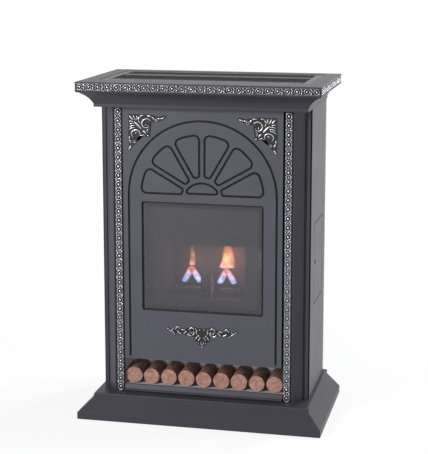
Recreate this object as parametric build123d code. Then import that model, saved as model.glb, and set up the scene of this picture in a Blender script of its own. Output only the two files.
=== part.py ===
from build123d import *
import math
import os

# Free-standing gas fireplace heater with a mantel, in millimetres.
# Origin: on the floor, at the centre of the footprint with its flue collar counted in.
# +Z is up, the front faces -Y and +X is to the right of someone who faces the front.

# Overall sizes
HEIGHT = 900.0
DEPTH = 375.0
FLUE_REACH = 36.0
FRONT = -(DEPTH + FLUE_REACH) / 2
BACK = FRONT + DEPTH
SHEET = 1.5
GAP = 2.0

# Base plinth: foot, slope and ledge
LEDGE_HALF = 290.0
PLINTH_SPREAD = 36.0
LEDGE_FRONT = FRONT + PLINTH_SPREAD
FOOT_TOP = 18.5
SLOPE_TOP = 53.0
LEDGE_TOP = 64.0
LEDGE_ROUND = 3.0
PLINTH_WALL = 2.0
WELL_HALF = 240.0
WELL_Y = (-84.0, 140.0)
FLOOR_PAN_HALF = 264.0
FLOOR_PAN_Y = (-90.0, 160.0)
AIR_SLOT = (60.0, 8.0)
AIR_SLOT_X = (-160.0, -80.0, 0.0, 80.0, 160.0)
AIR_SLOT_Y = (40.0, 80.0)

# Casing
BODY_HALF = 280.0
BODY_TOP = 833.0
POST_FACE = -100.0
PANEL_FRONT = -96.0
REAR_LIP = 24.0
PANEL_RETURN = 14.0
LOUVRE = (68.0, 6.0)
LOUVRE_X = (-170.0, -85.0, 0.0, 85.0, 170.0)
LOUVRE_Z = (300.0, 320.0, 340.0, 360.0)
SCREW_RADIUS = 4.5
SHIELD_HALF = 250.0
SHIELD_Y = (120.0, 168.0)
SHIELD_Z = (160.0, 800.0)

# Front cover and the features pressed in it, measured from its centre line
COVER_HALF = 212.0
COVER_FACE = -136.0
COVER_SHEET = 2.0
COVER_BOTTOM = 156.0
COVER_RETURN = 14.0
GROOVE = 5.5
GROOVE_DEPTH = 3.4
RIDGE = 8.5
ARCH_HALF = 196.5
ARCH_FOOT = 163.0
ARCH_SPRING = 602.5
FAN_Z = 600.0
FAN_INNER = 54.0
FAN_OUTER = 163.0
FAN_PETALS = 6
FAN_BAR = 14.0
PETAL_TIP_FILLET = 14.0
PETAL_ROOT_FILLET = 6.0
HUB_HALF = 46.0
HUB_BASE = 609.5
HUB_RISE = 28.0
HUB_FILLET = 6.0
WINDOW_HALF = 162.5
WINDOW_Z = (291.5, 584.5)
WINDOW_FILLET = 5.0

# Window
GLASS_INSET = 5.0
GLASS_FACE = -134.5
GLASS_THICK = 4.0
BEVEL = 8.0
BEVEL_DROP = 1.0
SEAL_WIDTH = 8.0
SEAL_THICK = 2.0
FRAME_INNER_HALF = 147.0
FRAME_MARGIN = 4.0
FRAME_FLANGE = 8.0

# Firebox and combustion chamber
FIREBOX_HALF = 110.0
FIREBOX_Z = (322.0, 469.0)
FIREBOX_FRONT = -111.5
CHAMBER_BACK = -6.5
CHAMBER_TOP = 742.0
FLUE_Z = 660.0
FLUE_RADIUS = 74.0
DUCT_RADIUS = 72.5
FLANGE_RADIUS = 95.0
FLANGE_SHEET = 2.0
SLIP_FIT = 0.1
THROAT = 52.0
RAIL_X = 150.0
RAIL_Y = (-20.0, 10.0)
RAIL_FLANGE = 26.0
LUG_Y = (-20.0, -8.0)
LUG_Z = (400.0, 600.0)

# Burner, pilot and their places
BURNER_Y = -56.0
BURNER_DEPTH = 20.0
BURNER_HALF = 90.0
BURNER_Z = (328.0, 344.0)
PORT_FEET = (-69.0, -25.0, 25.0, 69.0)
PORT_Z = 355.0
PORT_TILT = 26.0
PORT_LENGTH = 16.0
PORT_RADIUS = 7.0
PORT_WALL = 3.0
VENTURI_RADIUS = 11.0
VENTURI_WAIST = 7.0
VENTURI_Z = (272.0, 286.0, 300.0, 318.0)
AIR_GATE_Z = (275.0, 283.0)
INJECTOR_Z = (250.0, 262.0, 272.0)
INJECTOR_FLATS = 9.0
INJECTOR_NOSE = 6.0
PILOT_Y = -80.0
PILOT_STEP = 14.0
PILOT_Z = (300.0, 372.0, 382.0)
PILOT_RADIUS = 5.0
PILOT_HOOD = 7.0
PROBE_HOLE = 4.1
PROBE_Z = (300.0, 342.0, 392.0)
SPARK_Z = (296.0, 368.0, 386.0)

# Right-hand hatch and the controls behind it
HATCH_Y = (-38.0, 98.0)
HATCH_Z = (308.0, 523.0)
HATCH_GAP = 2.0
PAN_X = 244.0
PAN_WALL = 3.0
PAN_RIM = 8.0
HINGE_X = 276.0
HINGE_Y = 93.5
HINGE_PIN_RADIUS = 2.0
SHAFT_CLEARANCE = 0.05
DOOR_FLANGE = 5.0
FINGER_HOLE = (-20.0, 418.0, 7.0)
KNOB_YZ = (30.0, 445.0)
KNOB_RADIUS = 22.0
KNOB_X = (251.0, 255.0, 262.0, 272.0)
KNOB_GRIP = 5.0
SPINDLE_RADIUS = 4.0
SPINDLE_X = (227.0, 260.0)
VALVE_X = (192.0, 232.0)
VALVE_HALF = (32.0, 42.0)
VALVE_CORNER = 8.0
BONNET_RADIUS = 16.0
NOSE_RADIUS = 8.5
NOSE_X = 248.0
UNION_NUTS = ((46.0, 11.0), (15.0, 9.0))
BUTTON_YZ = (68.0, 360.0)
BUTTON_RADIUS = 7.5
BUTTON_X = (234.0, 260.0)
IGNITER_X = (206.0, 226.0, 244.0, 250.0)
IGNITER_WALL = (3.5, 1.5)
CATCH_X = (258.0, 277.5)
CATCH_Z = (470.0, 498.0)

# Log niche
NICHE_HALF = 215.0
NICHE_FLOOR = 82.0
NICHE_BACK = -30.0
NICHE_MOUTH = -128.0
RAIL_FRONT = -138.0
RAIL_Z = (66.5, 71.0)
LOG_COUNT = 9
LOG_PITCH = 47.8
LOG_RADIUS = 23.2
LOG_FRONT = -122.0
LOG_LENGTH = 84.0
LOG_EDGE = 0.8

# Pilasters and their rope trims
CHANNEL_X = 217.0
CHANNEL_Y = -128.0
TRIM_X = 225.5
TRIM_HALF = 9.75
TRIM_PITCH = 24.0
TRIM_TIE = 8.0
TRIM_RELIEF = 9.0
TRIM_MOTIFS = 32

# Mantel: strip, cove and slab
STRIP_HALF = 280.0
MANTEL_SPREAD = 38.0
STRIP_FRONT = FRONT + 1.5 + MANTEL_SPREAD
STRIP_TOP = 841.0
COVE_TOP = 872.0
COVE_MID = (12.0, 858.4)
COVE_OUT = 29.0
THROAT_HALF = 264.0
THROAT_Y = (-126.0, 150.0)
SLAB_LIP = (24.0, 31.0)
SLAB_ROUND = 1.5
SLAB_TOP_SHEET = 2.2
CHANNEL_DEPTH = 4.0
BAND_Z = (878.5, 896.5)
GRILLE_HALF = 276.5
GRILLE_Y = (-130.5, 132.5)
GRILLE_LEDGE_Z = 893.0
GRILLE_BORDER = 18.0
SLAT_COUNT = 9
SLAT_TILT = 34.0
SLAT_WIDTH = 18.0

# Services
INLET_XZ = (205.0, 130.0)
INLET_RADIUS = 7.0
THREAD_RADIUS = 10.4
HEX_RADIUS = 15.0
SUPPLY_XY = (222.0, 15.0)
TUBE_FLATS = 8
PIPE_BENDS = {"inlet": 30.0, "supply": 24.0, "pilot": 14.0, "lead": 12.0}


def block(x, y, z):
    """Right block between two bounds on each axis."""
    size = (x[1] - x[0], y[1] - y[0], z[1] - z[0])
    centre = ((x[0] + x[1]) / 2, (y[0] + y[1]) / 2, (z[0] + z[1]) / 2)
    return Pos(*centre) * Box(*size)


def both_sides(shape):
    """The shape and its mirror image in the centre plane."""
    return [shape, mirror(shape, about=Plane.YZ)]


def join(shapes):
    """Union of a list of shapes."""
    whole = shapes[0]
    for shape in shapes[1:]:
        whole = whole + shape
    return whole


def along_x(face, x):
    """Solid of a face drawn in (y, z), from x[0] to x[1]."""
    return Pos(x[0], 0, 0) * extrude(Plane.YZ * face, x[1] - x[0])


def along_y(face, y):
    """Solid of a face drawn in (x, z), from y[0] to y[1]."""
    return Pos(0, y[1], 0) * extrude(Plane.XZ * face, y[1] - y[0])


def along_z(face, z):
    """Solid of a face drawn in (x, y), from z[0] to z[1]."""
    return Pos(0, 0, z[0]) * extrude(face, z[1] - z[0])


def polygon(points):
    """Face with straight sides through the points."""
    return make_face(Polyline(*points, close=True))


def rectangle(u, v):
    """Face between two bounds on each axis."""
    return Pos((u[0] + u[1]) / 2, (v[0] + v[1]) / 2) * Rectangle(u[1] - u[0], v[1] - v[0])


def rounded(u, v, radius):
    """Rectangle with rounded corners."""
    face = RectangleRounded(u[1] - u[0], v[1] - v[0], radius)
    return Pos((u[0] + u[1]) / 2, (v[0] + v[1]) / 2) * face


def grown(bounds, margin):
    """Bounds widened by the margin at both ends."""
    return (bounds[0] - margin, bounds[1] + margin)


def sheet_section(points, thickness):
    """Section of a sheet bent along the points. The thickness lies to the left of the run,
    or to the right when it is negative, and the bends are mitred."""
    runs = []
    for (ax, ay), (bx, by) in zip(points, points[1:]):
        length = math.hypot(bx - ax, by - ay)
        runs.append((-(by - ay) / length, (bx - ax) / length))
    sides = [runs[0]] + runs + [runs[-1]]
    back = []
    for (x, y), (nx, ny), (mx, my) in zip(points, sides, sides[1:]):
        reach = thickness / (1 + nx * mx + ny * my)
        back.append((x + (nx + mx) * reach, y + (ny + my) * reach))
    return polygon(list(points) + back[::-1])


def edge_run(steps, place):
    """Edges along a profile. Each step is a point (out, up) for a straight run, or two points
    (mid out, mid up, out, up) for an arc, and place turns them into drawing coordinates."""
    edges = []
    here = place(*steps[0])
    for step in steps[1:]:
        there = place(*step[-2:])
        if len(step) == 2:
            edges.append(Line(here, there))
        else:
            edges.append(ThreePointArc(here, place(*step[:2]), there))
        here = there
    return edges


def round_over(radius, out, up):
    """Arc step that rounds the upper outer corner (out, up) of a profile."""
    bulge = radius * (1 - math.sqrt(0.5))
    return (out - bulge, up - bulge, out - radius, up)


def moulding(steps, half, front, back=BACK):
    """Block that shows one profile on its front and both sides, mitred at the corners. The
    profile runs from bottom to top and its 'out' is measured from half and from front."""
    bottom, top = steps[0][-2:], steps[-1][-2:]
    nose = edge_run(steps, lambda out, up: (front - out, up))
    nose += [
        Line((front - top[0], top[1]), (back, top[1])),
        Line((back, top[1]), (back, bottom[1])),
        Line((back, bottom[1]), (front - bottom[0], bottom[1])),
    ]
    reach = half + max(step[-2] for step in steps) + 1
    long_way = along_x(make_face(nose), (-reach, reach))
    right = edge_run(steps, lambda out, up: (half + out, up))
    left = edge_run(steps, lambda out, up: (-half - out, up))
    caps = [
        Line((half + top[0], top[1]), (-half - top[0], top[1])),
        Line((half + bottom[0], bottom[1]), (-half - bottom[0], bottom[1])),
    ]
    depth_way = along_y(make_face(right + left + caps), (front - reach, back))
    return long_way & depth_way


def tube_run(points, radius, bend):
    """Tube along straight runs joined by arcs of one bend radius, drawn with a few flats."""
    path = FilletPolyline(*points, radius=bend)
    start = Plane(origin=path @ 0, z_dir=path % 0)
    return sweep(start * RegularPolygon(radius, TUBE_FLATS), path=path)


def rod(start, direction, length, radius):
    """Cylinder from a start point along a direction."""
    return extrude(Plane(origin=start, z_dir=direction) * Circle(radius), length)


def base_plinth():
    """Pressed plinth, open underneath, with a ring-shaped top that carries the casing."""
    bend = 0.6
    outside = moulding(
        [
            (PLINTH_SPREAD, 0),
            (PLINTH_SPREAD, FOOT_TOP),
            (0, SLOPE_TOP),
            (0, LEDGE_TOP - LEDGE_ROUND),
            round_over(LEDGE_ROUND, 0, LEDGE_TOP),
        ],
        LEDGE_HALF,
        LEDGE_FRONT,
    )
    inside = moulding(
        [
            (PLINTH_SPREAD - PLINTH_WALL, -1),
            (PLINTH_SPREAD - PLINTH_WALL, FOOT_TOP - bend),
            (-PLINTH_WALL, SLOPE_TOP - bend),
            (-PLINTH_WALL, LEDGE_TOP - PLINTH_WALL),
        ],
        LEDGE_HALF,
        LEDGE_FRONT,
        BACK - PLINTH_WALL,
    )
    well = block((-WELL_HALF, WELL_HALF), WELL_Y, (0, LEDGE_TOP + 1))
    return outside - inside - well


def floor_pan():
    """Sheet floor over the plinth's well, with two rows of air slots."""
    plan = rectangle((-FLOOR_PAN_HALF, FLOOR_PAN_HALF), FLOOR_PAN_Y)
    slots = [Pos(x, y) * Rectangle(*AIR_SLOT) for x in AIR_SLOT_X for y in AIR_SLOT_Y]
    return along_z(plan - join(slots), (LEDGE_TOP, LEDGE_TOP + SHEET))


def side_panel():
    """Right-hand side panel without its hatch: a flat sheet with a return at the rear."""
    rear = BACK - REAR_LIP
    plan = sheet_section(
        [(BODY_HALF, PANEL_FRONT), (BODY_HALF, rear), (BODY_HALF - PANEL_RETURN, rear)], SHEET
    )
    return along_z(plan, (LEDGE_TOP, BODY_TOP))


def hatch_hole():
    """Cutter for the hatch in the right-hand side panel."""
    hole = rectangle(grown(HATCH_Y, HATCH_GAP), grown(HATCH_Z, HATCH_GAP))
    return along_x(hole, (BODY_HALF - 10, BODY_HALF + 1))


def side_access_door():
    """Hatch door, flush in the side panel, with returned edges top and bottom and a finger hole."""
    y, z, radius = FINGER_HOLE
    leaf = along_x(rectangle(HATCH_Y, HATCH_Z), (BODY_HALF - SHEET, BODY_HALF))
    leaf = leaf - along_x(Pos(y, z) * Circle(radius), (BODY_HALF - 5, BODY_HALF + 1))
    flange_x = (BODY_HALF - SHEET - DOOR_FLANGE, BODY_HALF - SHEET)
    flange_y = (HATCH_Y[0] + 2, HINGE_Y + 3)
    low = block(flange_x, flange_y, (HATCH_Z[0], HATCH_Z[0] + SHEET))
    high = block(flange_x, flange_y, (HATCH_Z[1] - SHEET, HATCH_Z[1]))
    pins = join(pin_blanks(HINGE_PIN_RADIUS))
    return leaf + low + high - pins


def pin_blanks(radius):
    """The two hinge pins of the hatch door, at a given radius."""
    low = rod((HINGE_X, HINGE_Y, HATCH_Z[0] - 5), (0, 0, 1), 12, radius)
    high = rod((HINGE_X, HINGE_Y, HATCH_Z[1] - 7), (0, 0, 1), 12, radius)
    return [low, high]


def control_pan():
    """Recessed pan behind the hatch that carries the gas valve, the igniter and the door pins."""
    inner_y = grown(HATCH_Y, PAN_WALL)
    inner_z = grown(HATCH_Z, PAN_WALL)
    outer_y = grown(inner_y, SHEET)
    outer_z = grown(inner_z, SHEET)
    rim_x = BODY_HALF - SHEET
    tub = along_x(rectangle(outer_y, outer_z), (PAN_X, rim_x))
    tub = tub - along_x(rectangle(inner_y, inner_z), (PAN_X + SHEET, rim_x + 1))
    rim = rectangle(grown(outer_y, PAN_RIM), grown(outer_z, PAN_RIM)) - rectangle(inner_y, inner_z)
    pan = tub + along_x(rim, (rim_x - SHEET, rim_x))
    through = (PAN_X - 1, PAN_X + SHEET + 1)
    nose = along_x(Pos(*KNOB_YZ) * Circle(NOSE_RADIUS + 0.5), through)
    neck = along_x(Pos(*BUTTON_YZ) * Circle(BUTTON_RADIUS + IGNITER_WALL[1] + SLIP_FIT), through)
    return pan - nose - neck - join(pin_blanks(HINGE_PIN_RADIUS + SHAFT_CLEARANCE))


def door_catch():
    """Magnetic catch on the pan's front wall, behind the door's free edge."""
    depth = 10.0
    wall = 4.0
    front = HATCH_Y[0] - PAN_WALL
    body = block(CATCH_X, (front, front + depth), CATCH_Z)
    slot = block((CATCH_X[1] - wall, CATCH_X[1] + 1), (front + 3, front + 7), grown(CATCH_Z, -wall))
    return body - slot


def gas_valve():
    """Valve body with its bonnet, nose and two hexagonal nuts underneath, for inlet and outlet."""
    y, z = KNOB_YZ
    half_y, half_z = VALVE_HALF
    body = along_x(rounded((y - half_y, y + half_y), (z - half_z, z + half_z), VALVE_CORNER), VALVE_X)
    bonnet = along_x(Pos(y, z) * Circle(BONNET_RADIUS), (VALVE_X[1] - 1, PAN_X))
    nose = along_x(Pos(y, z) * Circle(NOSE_RADIUS), (PAN_X - 1, NOSE_X))
    nut_z = (z - half_z - 10, z - half_z + 1)
    nuts = [
        along_z(Pos(x, nut_y) * RegularPolygon(radius, 6), nut_z)
        for x, (nut_y, radius) in zip((INLET_XZ[0], SUPPLY_XY[0]), UNION_NUTS)
    ]
    bore = along_x(Pos(y, z) * Circle(SPINDLE_RADIUS + SHAFT_CLEARANCE), (SPINDLE_X[0] - 1, NOSE_X + 1))
    return body + bonnet + nose + join(nuts) - bore


def knob_spindle():
    """Spindle of the valve, from its bore to the knob."""
    return along_x(Pos(*KNOB_YZ) * Circle(SPINDLE_RADIUS), SPINDLE_X)


def control_knob():
    """Round knob with a skirt, a grip bar across its face and a blind bore for the spindle."""
    y, z = KNOB_YZ
    start, skirt_top, drum_top, grip_top = KNOB_X
    drum_radius = KNOB_RADIUS - 4
    skirt = along_x(Pos(y, z) * Circle(KNOB_RADIUS), (start, skirt_top))
    skirt = chamfer(skirt.edges().group_by(Axis.X)[-1], 1.5)
    drum = along_x(Pos(y, z) * Circle(drum_radius), (skirt_top - 1, drum_top))
    bar = rounded(grown((y, y), KNOB_GRIP), (z - drum_radius, z + KNOB_RADIUS - 1), KNOB_GRIP - 1)
    grip = along_x(bar, (drum_top - 2, grip_top))
    return skirt + drum + grip - knob_spindle()


def piezo_igniter():
    """Igniter barrel held in the pan by a hexagonal nut, with a bore that guides its button."""
    place = Pos(*BUTTON_YZ)
    start, bore_start, shoulder, tip = IGNITER_X
    barrel = along_x(place * Circle(BUTTON_RADIUS + IGNITER_WALL[0]), (start, shoulder))
    neck = along_x(place * Circle(BUTTON_RADIUS + IGNITER_WALL[1]), (shoulder - 1, tip))
    nut = along_x(place * RegularPolygon(BUTTON_RADIUS + 6, 6), (PAN_X + SHEET, PAN_X + SHEET + 3))
    bore = along_x(place * Circle(BUTTON_RADIUS + SHAFT_CLEARANCE), (bore_start, tip + 1))
    return barrel + neck + nut - bore


def piezo_button():
    """Sprung push button with a bevelled head."""
    stem = along_x(Pos(*BUTTON_YZ) * Circle(BUTTON_RADIUS), BUTTON_X)
    return chamfer(stem.edges().group_by(Axis.X)[-1], 2)


def rear_panel():
    """Back sheet with side lips, louvre slots and holes for the flue and the gas inlet."""
    plan = sheet_section(
        [
            (BODY_HALF - 2, BACK - REAR_LIP + 1),
            (BODY_HALF - 2, BACK),
            (-BODY_HALF + 2, BACK),
            (-BODY_HALF + 2, BACK - REAR_LIP + 1),
        ],
        SHEET,
    )
    panel = along_z(plan, (LEDGE_TOP, BODY_TOP))
    slots = [Pos(x, z) * Rectangle(*LOUVRE) for x in LOUVRE_X for z in LOUVRE_Z]
    flue = Pos(0, FLUE_Z) * Circle(FLUE_RADIUS + 1)
    holes = join(slots) + flue + Pos(*INLET_XZ) * Circle(THREAD_RADIUS + 2.6)
    return panel - along_y(holes, (BACK - 5, BACK + 5))


def rear_panel_screws():
    """Hexagon-head screws round the back panel."""
    places = [(x, z) for x in (-262, 262) for z in (90, 330, 570, 815)]
    places += [(x, z) for x in (-90, 90) for z in (80, 820)]
    return [along_y(Pos(x, z) * RegularPolygon(SCREW_RADIUS, 6), (BACK, BACK + 2)) for x, z in places]


def heat_shield():
    """Reflector sheet between the combustion chamber and the back panel, on two stand-off folds."""
    face, foot = SHIELD_Y
    run = [(-SHIELD_HALF, foot), (-SHIELD_HALF, face), (SHIELD_HALF, face), (SHIELD_HALF, foot)]
    shield = along_z(sheet_section(run, SHEET), SHIELD_Z)
    return shield - along_y(Pos(0, FLUE_Z) * Circle(FLUE_RADIUS + 1), grown(SHIELD_Y, 5))


def pilaster():
    """Right-hand pilaster: trim channel, bright arris, splay, shadow groove and corner post."""
    plan = sheet_section(
        [
            (CHANNEL_X, CHANNEL_Y + 16),
            (CHANNEL_X, CHANNEL_Y),
            (238.5, CHANNEL_Y),
            (238.5, CHANNEL_Y - 3),
            (241.5, CHANNEL_Y - 3),
            (263.5, POST_FACE - 6),
            (263.5, POST_FACE + 3),
            (268.5, POST_FACE + 3),
            (268.5, POST_FACE),
            (BODY_HALF - SHEET - GAP, POST_FACE),
            (BODY_HALF - SHEET - GAP, POST_FACE + 30),
        ],
        SHEET,
    )
    return along_z(plan, (LEDGE_TOP, BODY_TOP))


def column_trim():
    """Rope trim of the right-hand pilaster: eight-sided links joined by narrow ties."""
    first = LEDGE_TOP + TRIM_HALF
    link = RegularPolygon(TRIM_HALF, 8, major_radius=False, rotation=22.5)
    gap = TRIM_PITCH - 2 * TRIM_HALF
    rope = []
    for i in range(TRIM_MOTIFS):
        centre = first + i * TRIM_PITCH
        rope.append(Pos(TRIM_X, centre) * link)
        rope.append(Pos(TRIM_X, centre + TRIM_PITCH / 2) * Rectangle(TRIM_TIE, gap))
    return along_y(Sketch() + rope, (CHANNEL_Y - TRIM_RELIEF, CHANNEL_Y))


def cusped(cusps, bulge):
    """Face whose sides are arcs that swell outwards between cusps, listed clockwise."""
    edges = []
    for (ax, ay), (bx, by) in zip(cusps, cusps[1:] + cusps[:1]):
        mid = ((ax + bx) / 2 - (by - ay) * bulge, (ay + by) / 2 + (bx - ax) * bulge)
        edges.append(ThreePointArc((ax, ay), mid, (bx, by)))
    return make_face(edges)


def corner_scroll():
    """Acanthus corner piece for the upper left corner, symmetric about its diagonal."""
    arm = [(44, -4), (80, -8), (98, -3), (90, -15), (66, -21), (56, -26), (57, -50)]
    tip = (61, -61)
    leaf = [(0, 0)] + arm + [tip] + [(-y, -x) for x, y in reversed(arm)]
    plate = cusped(leaf, 0.12)
    eyes = [Pos(x, z) * (Circle(14) - Circle(8.5)) for x, z in ((44, -25), (25, -44))]
    vein = polygon([(6, -9), (40, -36), (60, -60), (36, -40), (9, -6)])
    corner = (-COVER_HALF + 18, 814)
    raised = join(eyes) + vein
    base = along_y(Pos(*corner) * plate, (COVER_FACE - 3, COVER_FACE))
    crest = along_y(Pos(*corner) * raised, (COVER_FACE - 5.5, COVER_FACE - 2))
    return base + crest


def garland_ornament():
    """Leaf garland under the window: two sprays and a drop in the middle."""
    half = [
        (0, 4), (16, 5), (26, 8), (40, 1), (58, 6), (74, 2), (94, 5),
        (88, -7), (76, -16), (62, -13), (42, -12), (28, -22), (16, -34), (8, -42), (0, -51),
    ]
    cusps = half + [(-x, z) for x, z in reversed(half[1:-1])]
    plate = Pos(0, 248) * cusped(cusps, 0.14)
    return along_y(plate, (COVER_FACE - 4.5, COVER_FACE))


def petal(index):
    """Face of one petal of the fan, about the fan's centre."""
    pitch = 180.0 / FAN_PETALS
    middle = math.radians((index + 0.5) * pitch)
    half = math.radians(pitch / 2)
    start = FAN_BAR / 2 / math.sin(half)
    reach = 2 * FAN_OUTER
    apex = (start * math.cos(middle), start * math.sin(middle))
    wedge = [apex] + [
        (apex[0] + reach * math.cos(middle + turn), apex[1] + reach * math.sin(middle + turn))
        for turn in (-half, half)
    ]
    face = polygon(wedge) & (Circle(FAN_OUTER) - Circle(FAN_INNER))
    corners = face.vertices().sort_by(lambda v: math.hypot(v.X, v.Y))
    face = fillet(corners[2:], PETAL_TIP_FILLET)
    corners = face.vertices().sort_by(lambda v: math.hypot(v.X, v.Y))
    return fillet(corners[:2], PETAL_ROOT_FILLET)


def hub():
    """Face of the fan's hub, a segment of a circle on a flat base."""
    radius = (HUB_HALF**2 + HUB_RISE**2) / (2 * HUB_RISE)
    disc = Pos(0, HUB_BASE + HUB_RISE - radius) * Circle(radius)
    face = disc & rectangle((-HUB_HALF, HUB_HALF), (HUB_BASE, HUB_BASE + HUB_RISE))
    return fillet(face.vertices(), HUB_FILLET)


def arch(half):
    """Face of the arched field, open at its foot."""
    legs = rectangle((-half, half), (ARCH_FOOT, ARCH_SPRING))
    return legs + Pos(0, ARCH_SPRING) * Circle(half)


def groove_plan(width):
    """All grooves of the front cover as flat bands of one width."""
    closed = [Pos(0, FAN_Z) * petal(i) for i in range(FAN_PETALS)] + [hub()]
    bands = [offset(face, width / 2) - offset(face, -width / 2) for face in closed]
    bands.append(arch(ARCH_HALF + width / 2) - arch(ARCH_HALF - width / 2))
    return join(bands)


def front_cover():
    """Pressed front cover with returned edges. Each groove stands out as a ridge behind."""
    back = COVER_FACE + COVER_SHEET
    outline = rectangle((-COVER_HALF, COVER_HALF), (COVER_BOTTOM, BODY_TOP))
    inner = rectangle(grown((-COVER_HALF, COVER_HALF), -SHEET), (COVER_BOTTOM + SHEET, BODY_TOP - SHEET))
    window = rounded((-WINDOW_HALF, WINDOW_HALF), WINDOW_Z, WINDOW_FILLET)
    skin = along_y(outline - window, (COVER_FACE, back))
    returns = along_y(outline - inner, (back, COVER_FACE + COVER_RETURN))
    ridges = along_y(groove_plan(RIDGE), (back - 0.5, COVER_FACE + GROOVE_DEPTH + SHEET))
    grooves = along_y(groove_plan(GROOVE), (COVER_FACE - 1, COVER_FACE + GROOVE_DEPTH))
    return skin + returns + ridges - grooves


def bevelled(bounds):
    """Outline of the pane in section, as (depth, along) points between two bounds."""
    low, high = bounds
    back = GLASS_FACE + GLASS_THICK
    edge = GLASS_FACE + BEVEL_DROP
    return [(GLASS_FACE, low + BEVEL), (GLASS_FACE, high - BEVEL), (edge, high), (back, high),
            (back, low), (edge, low)]


def glass_pane():
    """Window pane with a bevel on all four sides of its front."""
    half = WINDOW_HALF - GLASS_INSET
    upright = polygon(bevelled(grown(WINDOW_Z, -GLASS_INSET)))
    level = polygon([(x, y) for y, x in bevelled((-half, half))])
    return along_x(upright, (-half, half)) & along_z(level, WINDOW_Z)


def window_ring(half, z, band, y):
    """Flat ring of a given band width, inside an outline."""
    outer = rectangle((-half, half), z)
    return along_y(outer - rectangle((band - half, half - band), grown(z, -band)), y)


def glass_seal():
    """Fibre seal between the pane's border and the window frame."""
    back = GLASS_FACE + GLASS_THICK
    half = WINDOW_HALF - GLASS_INSET
    return window_ring(half, grown(WINDOW_Z, -GLASS_INSET), SEAL_WIDTH, (back, back + SEAL_THICK))


def window_frame():
    """Frame behind the pane: an inner ring that presses the seal and a flange on the cover."""
    seat = GLASS_FACE + GLASS_THICK + SEAL_THICK
    cover_back = COVER_FACE + COVER_SHEET
    wall_half = WINDOW_HALF + FRAME_MARGIN
    wall_z = grown(WINDOW_Z, FRAME_MARGIN)
    band = wall_half - FRAME_INNER_HALF
    flange_z = grown(wall_z, FRAME_FLANGE)
    ring = window_ring(wall_half, wall_z, band, (seat, seat + SHEET))
    wall = window_ring(wall_half, wall_z, SHEET, (cover_back, seat + SHEET))
    flange = window_ring(
        wall_half + FRAME_FLANGE, flange_z, FRAME_FLANGE + SHEET, (cover_back, cover_back + SHEET)
    )
    return ring + wall + flange


def firebox_front():
    """Panel behind the window, dished forwards to the window frame, with the fire opening."""
    seat = GLASS_FACE + GLASS_THICK + SEAL_THICK + SHEET
    half = WINDOW_HALF - 6
    z = grown(WINDOW_Z, -6)
    plate = along_y(rectangle((-half, half), z), (FIREBOX_FRONT, FIREBOX_FRONT + SHEET))
    opening = rectangle((-FIREBOX_HALF, FIREBOX_HALF), FIREBOX_Z)
    rim = window_ring(half, z, SHEET, (seat, FIREBOX_FRONT + SHEET))
    return plate + rim - along_y(opening, (FIREBOX_FRONT - 1, FIREBOX_FRONT + 5))


def combustion_chamber():
    """Folded chamber with a sloping throat, open at the fire opening, with lugs to the rails."""
    front = FIREBOX_FRONT + SHEET
    floor = FIREBOX_Z[0]
    back = CHAMBER_BACK - SHEET
    top = CHAMBER_TOP - SHEET
    shell = polygon(
        [
            (front, floor - SHEET), (CHAMBER_BACK, floor - SHEET), (CHAMBER_BACK, CHAMBER_TOP),
            (front + THROAT, CHAMBER_TOP), (front, CHAMBER_TOP - THROAT),
        ]
    )
    hollow = polygon(
        [
            (front - 1, floor), (back, floor), (back, top), (front + THROAT + 0.6, top),
            (front + SHEET, CHAMBER_TOP - THROAT - 0.6), (front + SHEET, FIREBOX_Z[1]),
            (front - 1, FIREBOX_Z[1]),
        ]
    )
    half = FIREBOX_HALF + SHEET
    chamber = along_x(shell, (-half, half)) - along_x(hollow, (-FIREBOX_HALF, FIREBOX_HALF))
    lugs = join([block((FIREBOX_HALF, RAIL_X - SHEET), LUG_Y, (z, z + 2)) for z in LUG_Z])
    duct = Pos(0, FLUE_Z) * Circle(DUCT_RADIUS + 2 * SLIP_FIT)
    feeds = Pos(0, BURNER_Y) * Circle(VENTURI_RADIUS + 0.3)
    for x in (-PILOT_STEP, 0, PILOT_STEP):
        feeds += Pos(x, PILOT_Y) * Circle(PILOT_RADIUS + 0.3)
    chamber = chamber - along_y(duct, grown((CHAMBER_BACK, CHAMBER_BACK), 5))
    return chamber + join(both_sides(lugs)) - along_z(feeds, grown((floor, floor), 5))


def flue_duct():
    """Round duct from the chamber to the back panel."""
    ring = Pos(0, FLUE_Z) * (Circle(DUCT_RADIUS) - Circle(DUCT_RADIUS - SHEET))
    return along_y(ring, (CHAMBER_BACK - SHEET, BACK + 2))


def flue_collar():
    """Flanged spigot outside the back panel, which the flue pipe slides over."""
    bore = Circle(DUCT_RADIUS + SLIP_FIT)
    flange = along_y(Pos(0, FLUE_Z) * (Circle(FLANGE_RADIUS) - bore), (BACK, BACK + FLANGE_SHEET))
    return flange + along_y(Pos(0, FLUE_Z) * (Circle(FLUE_RADIUS) - bore), (BACK, BACK + FLUE_REACH))


def chassis_rail():
    """Right-hand upright channel that carries the chamber, from the floor pan to the casing's top."""
    rear, face = RAIL_X + RAIL_FLANGE, RAIL_X
    run = [(rear, RAIL_Y[0]), (face, RAIL_Y[0]), (face, RAIL_Y[1]), (rear, RAIL_Y[1])]
    return along_z(sheet_section(run, SHEET), (LEDGE_TOP + SHEET, BODY_TOP - 2))


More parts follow.
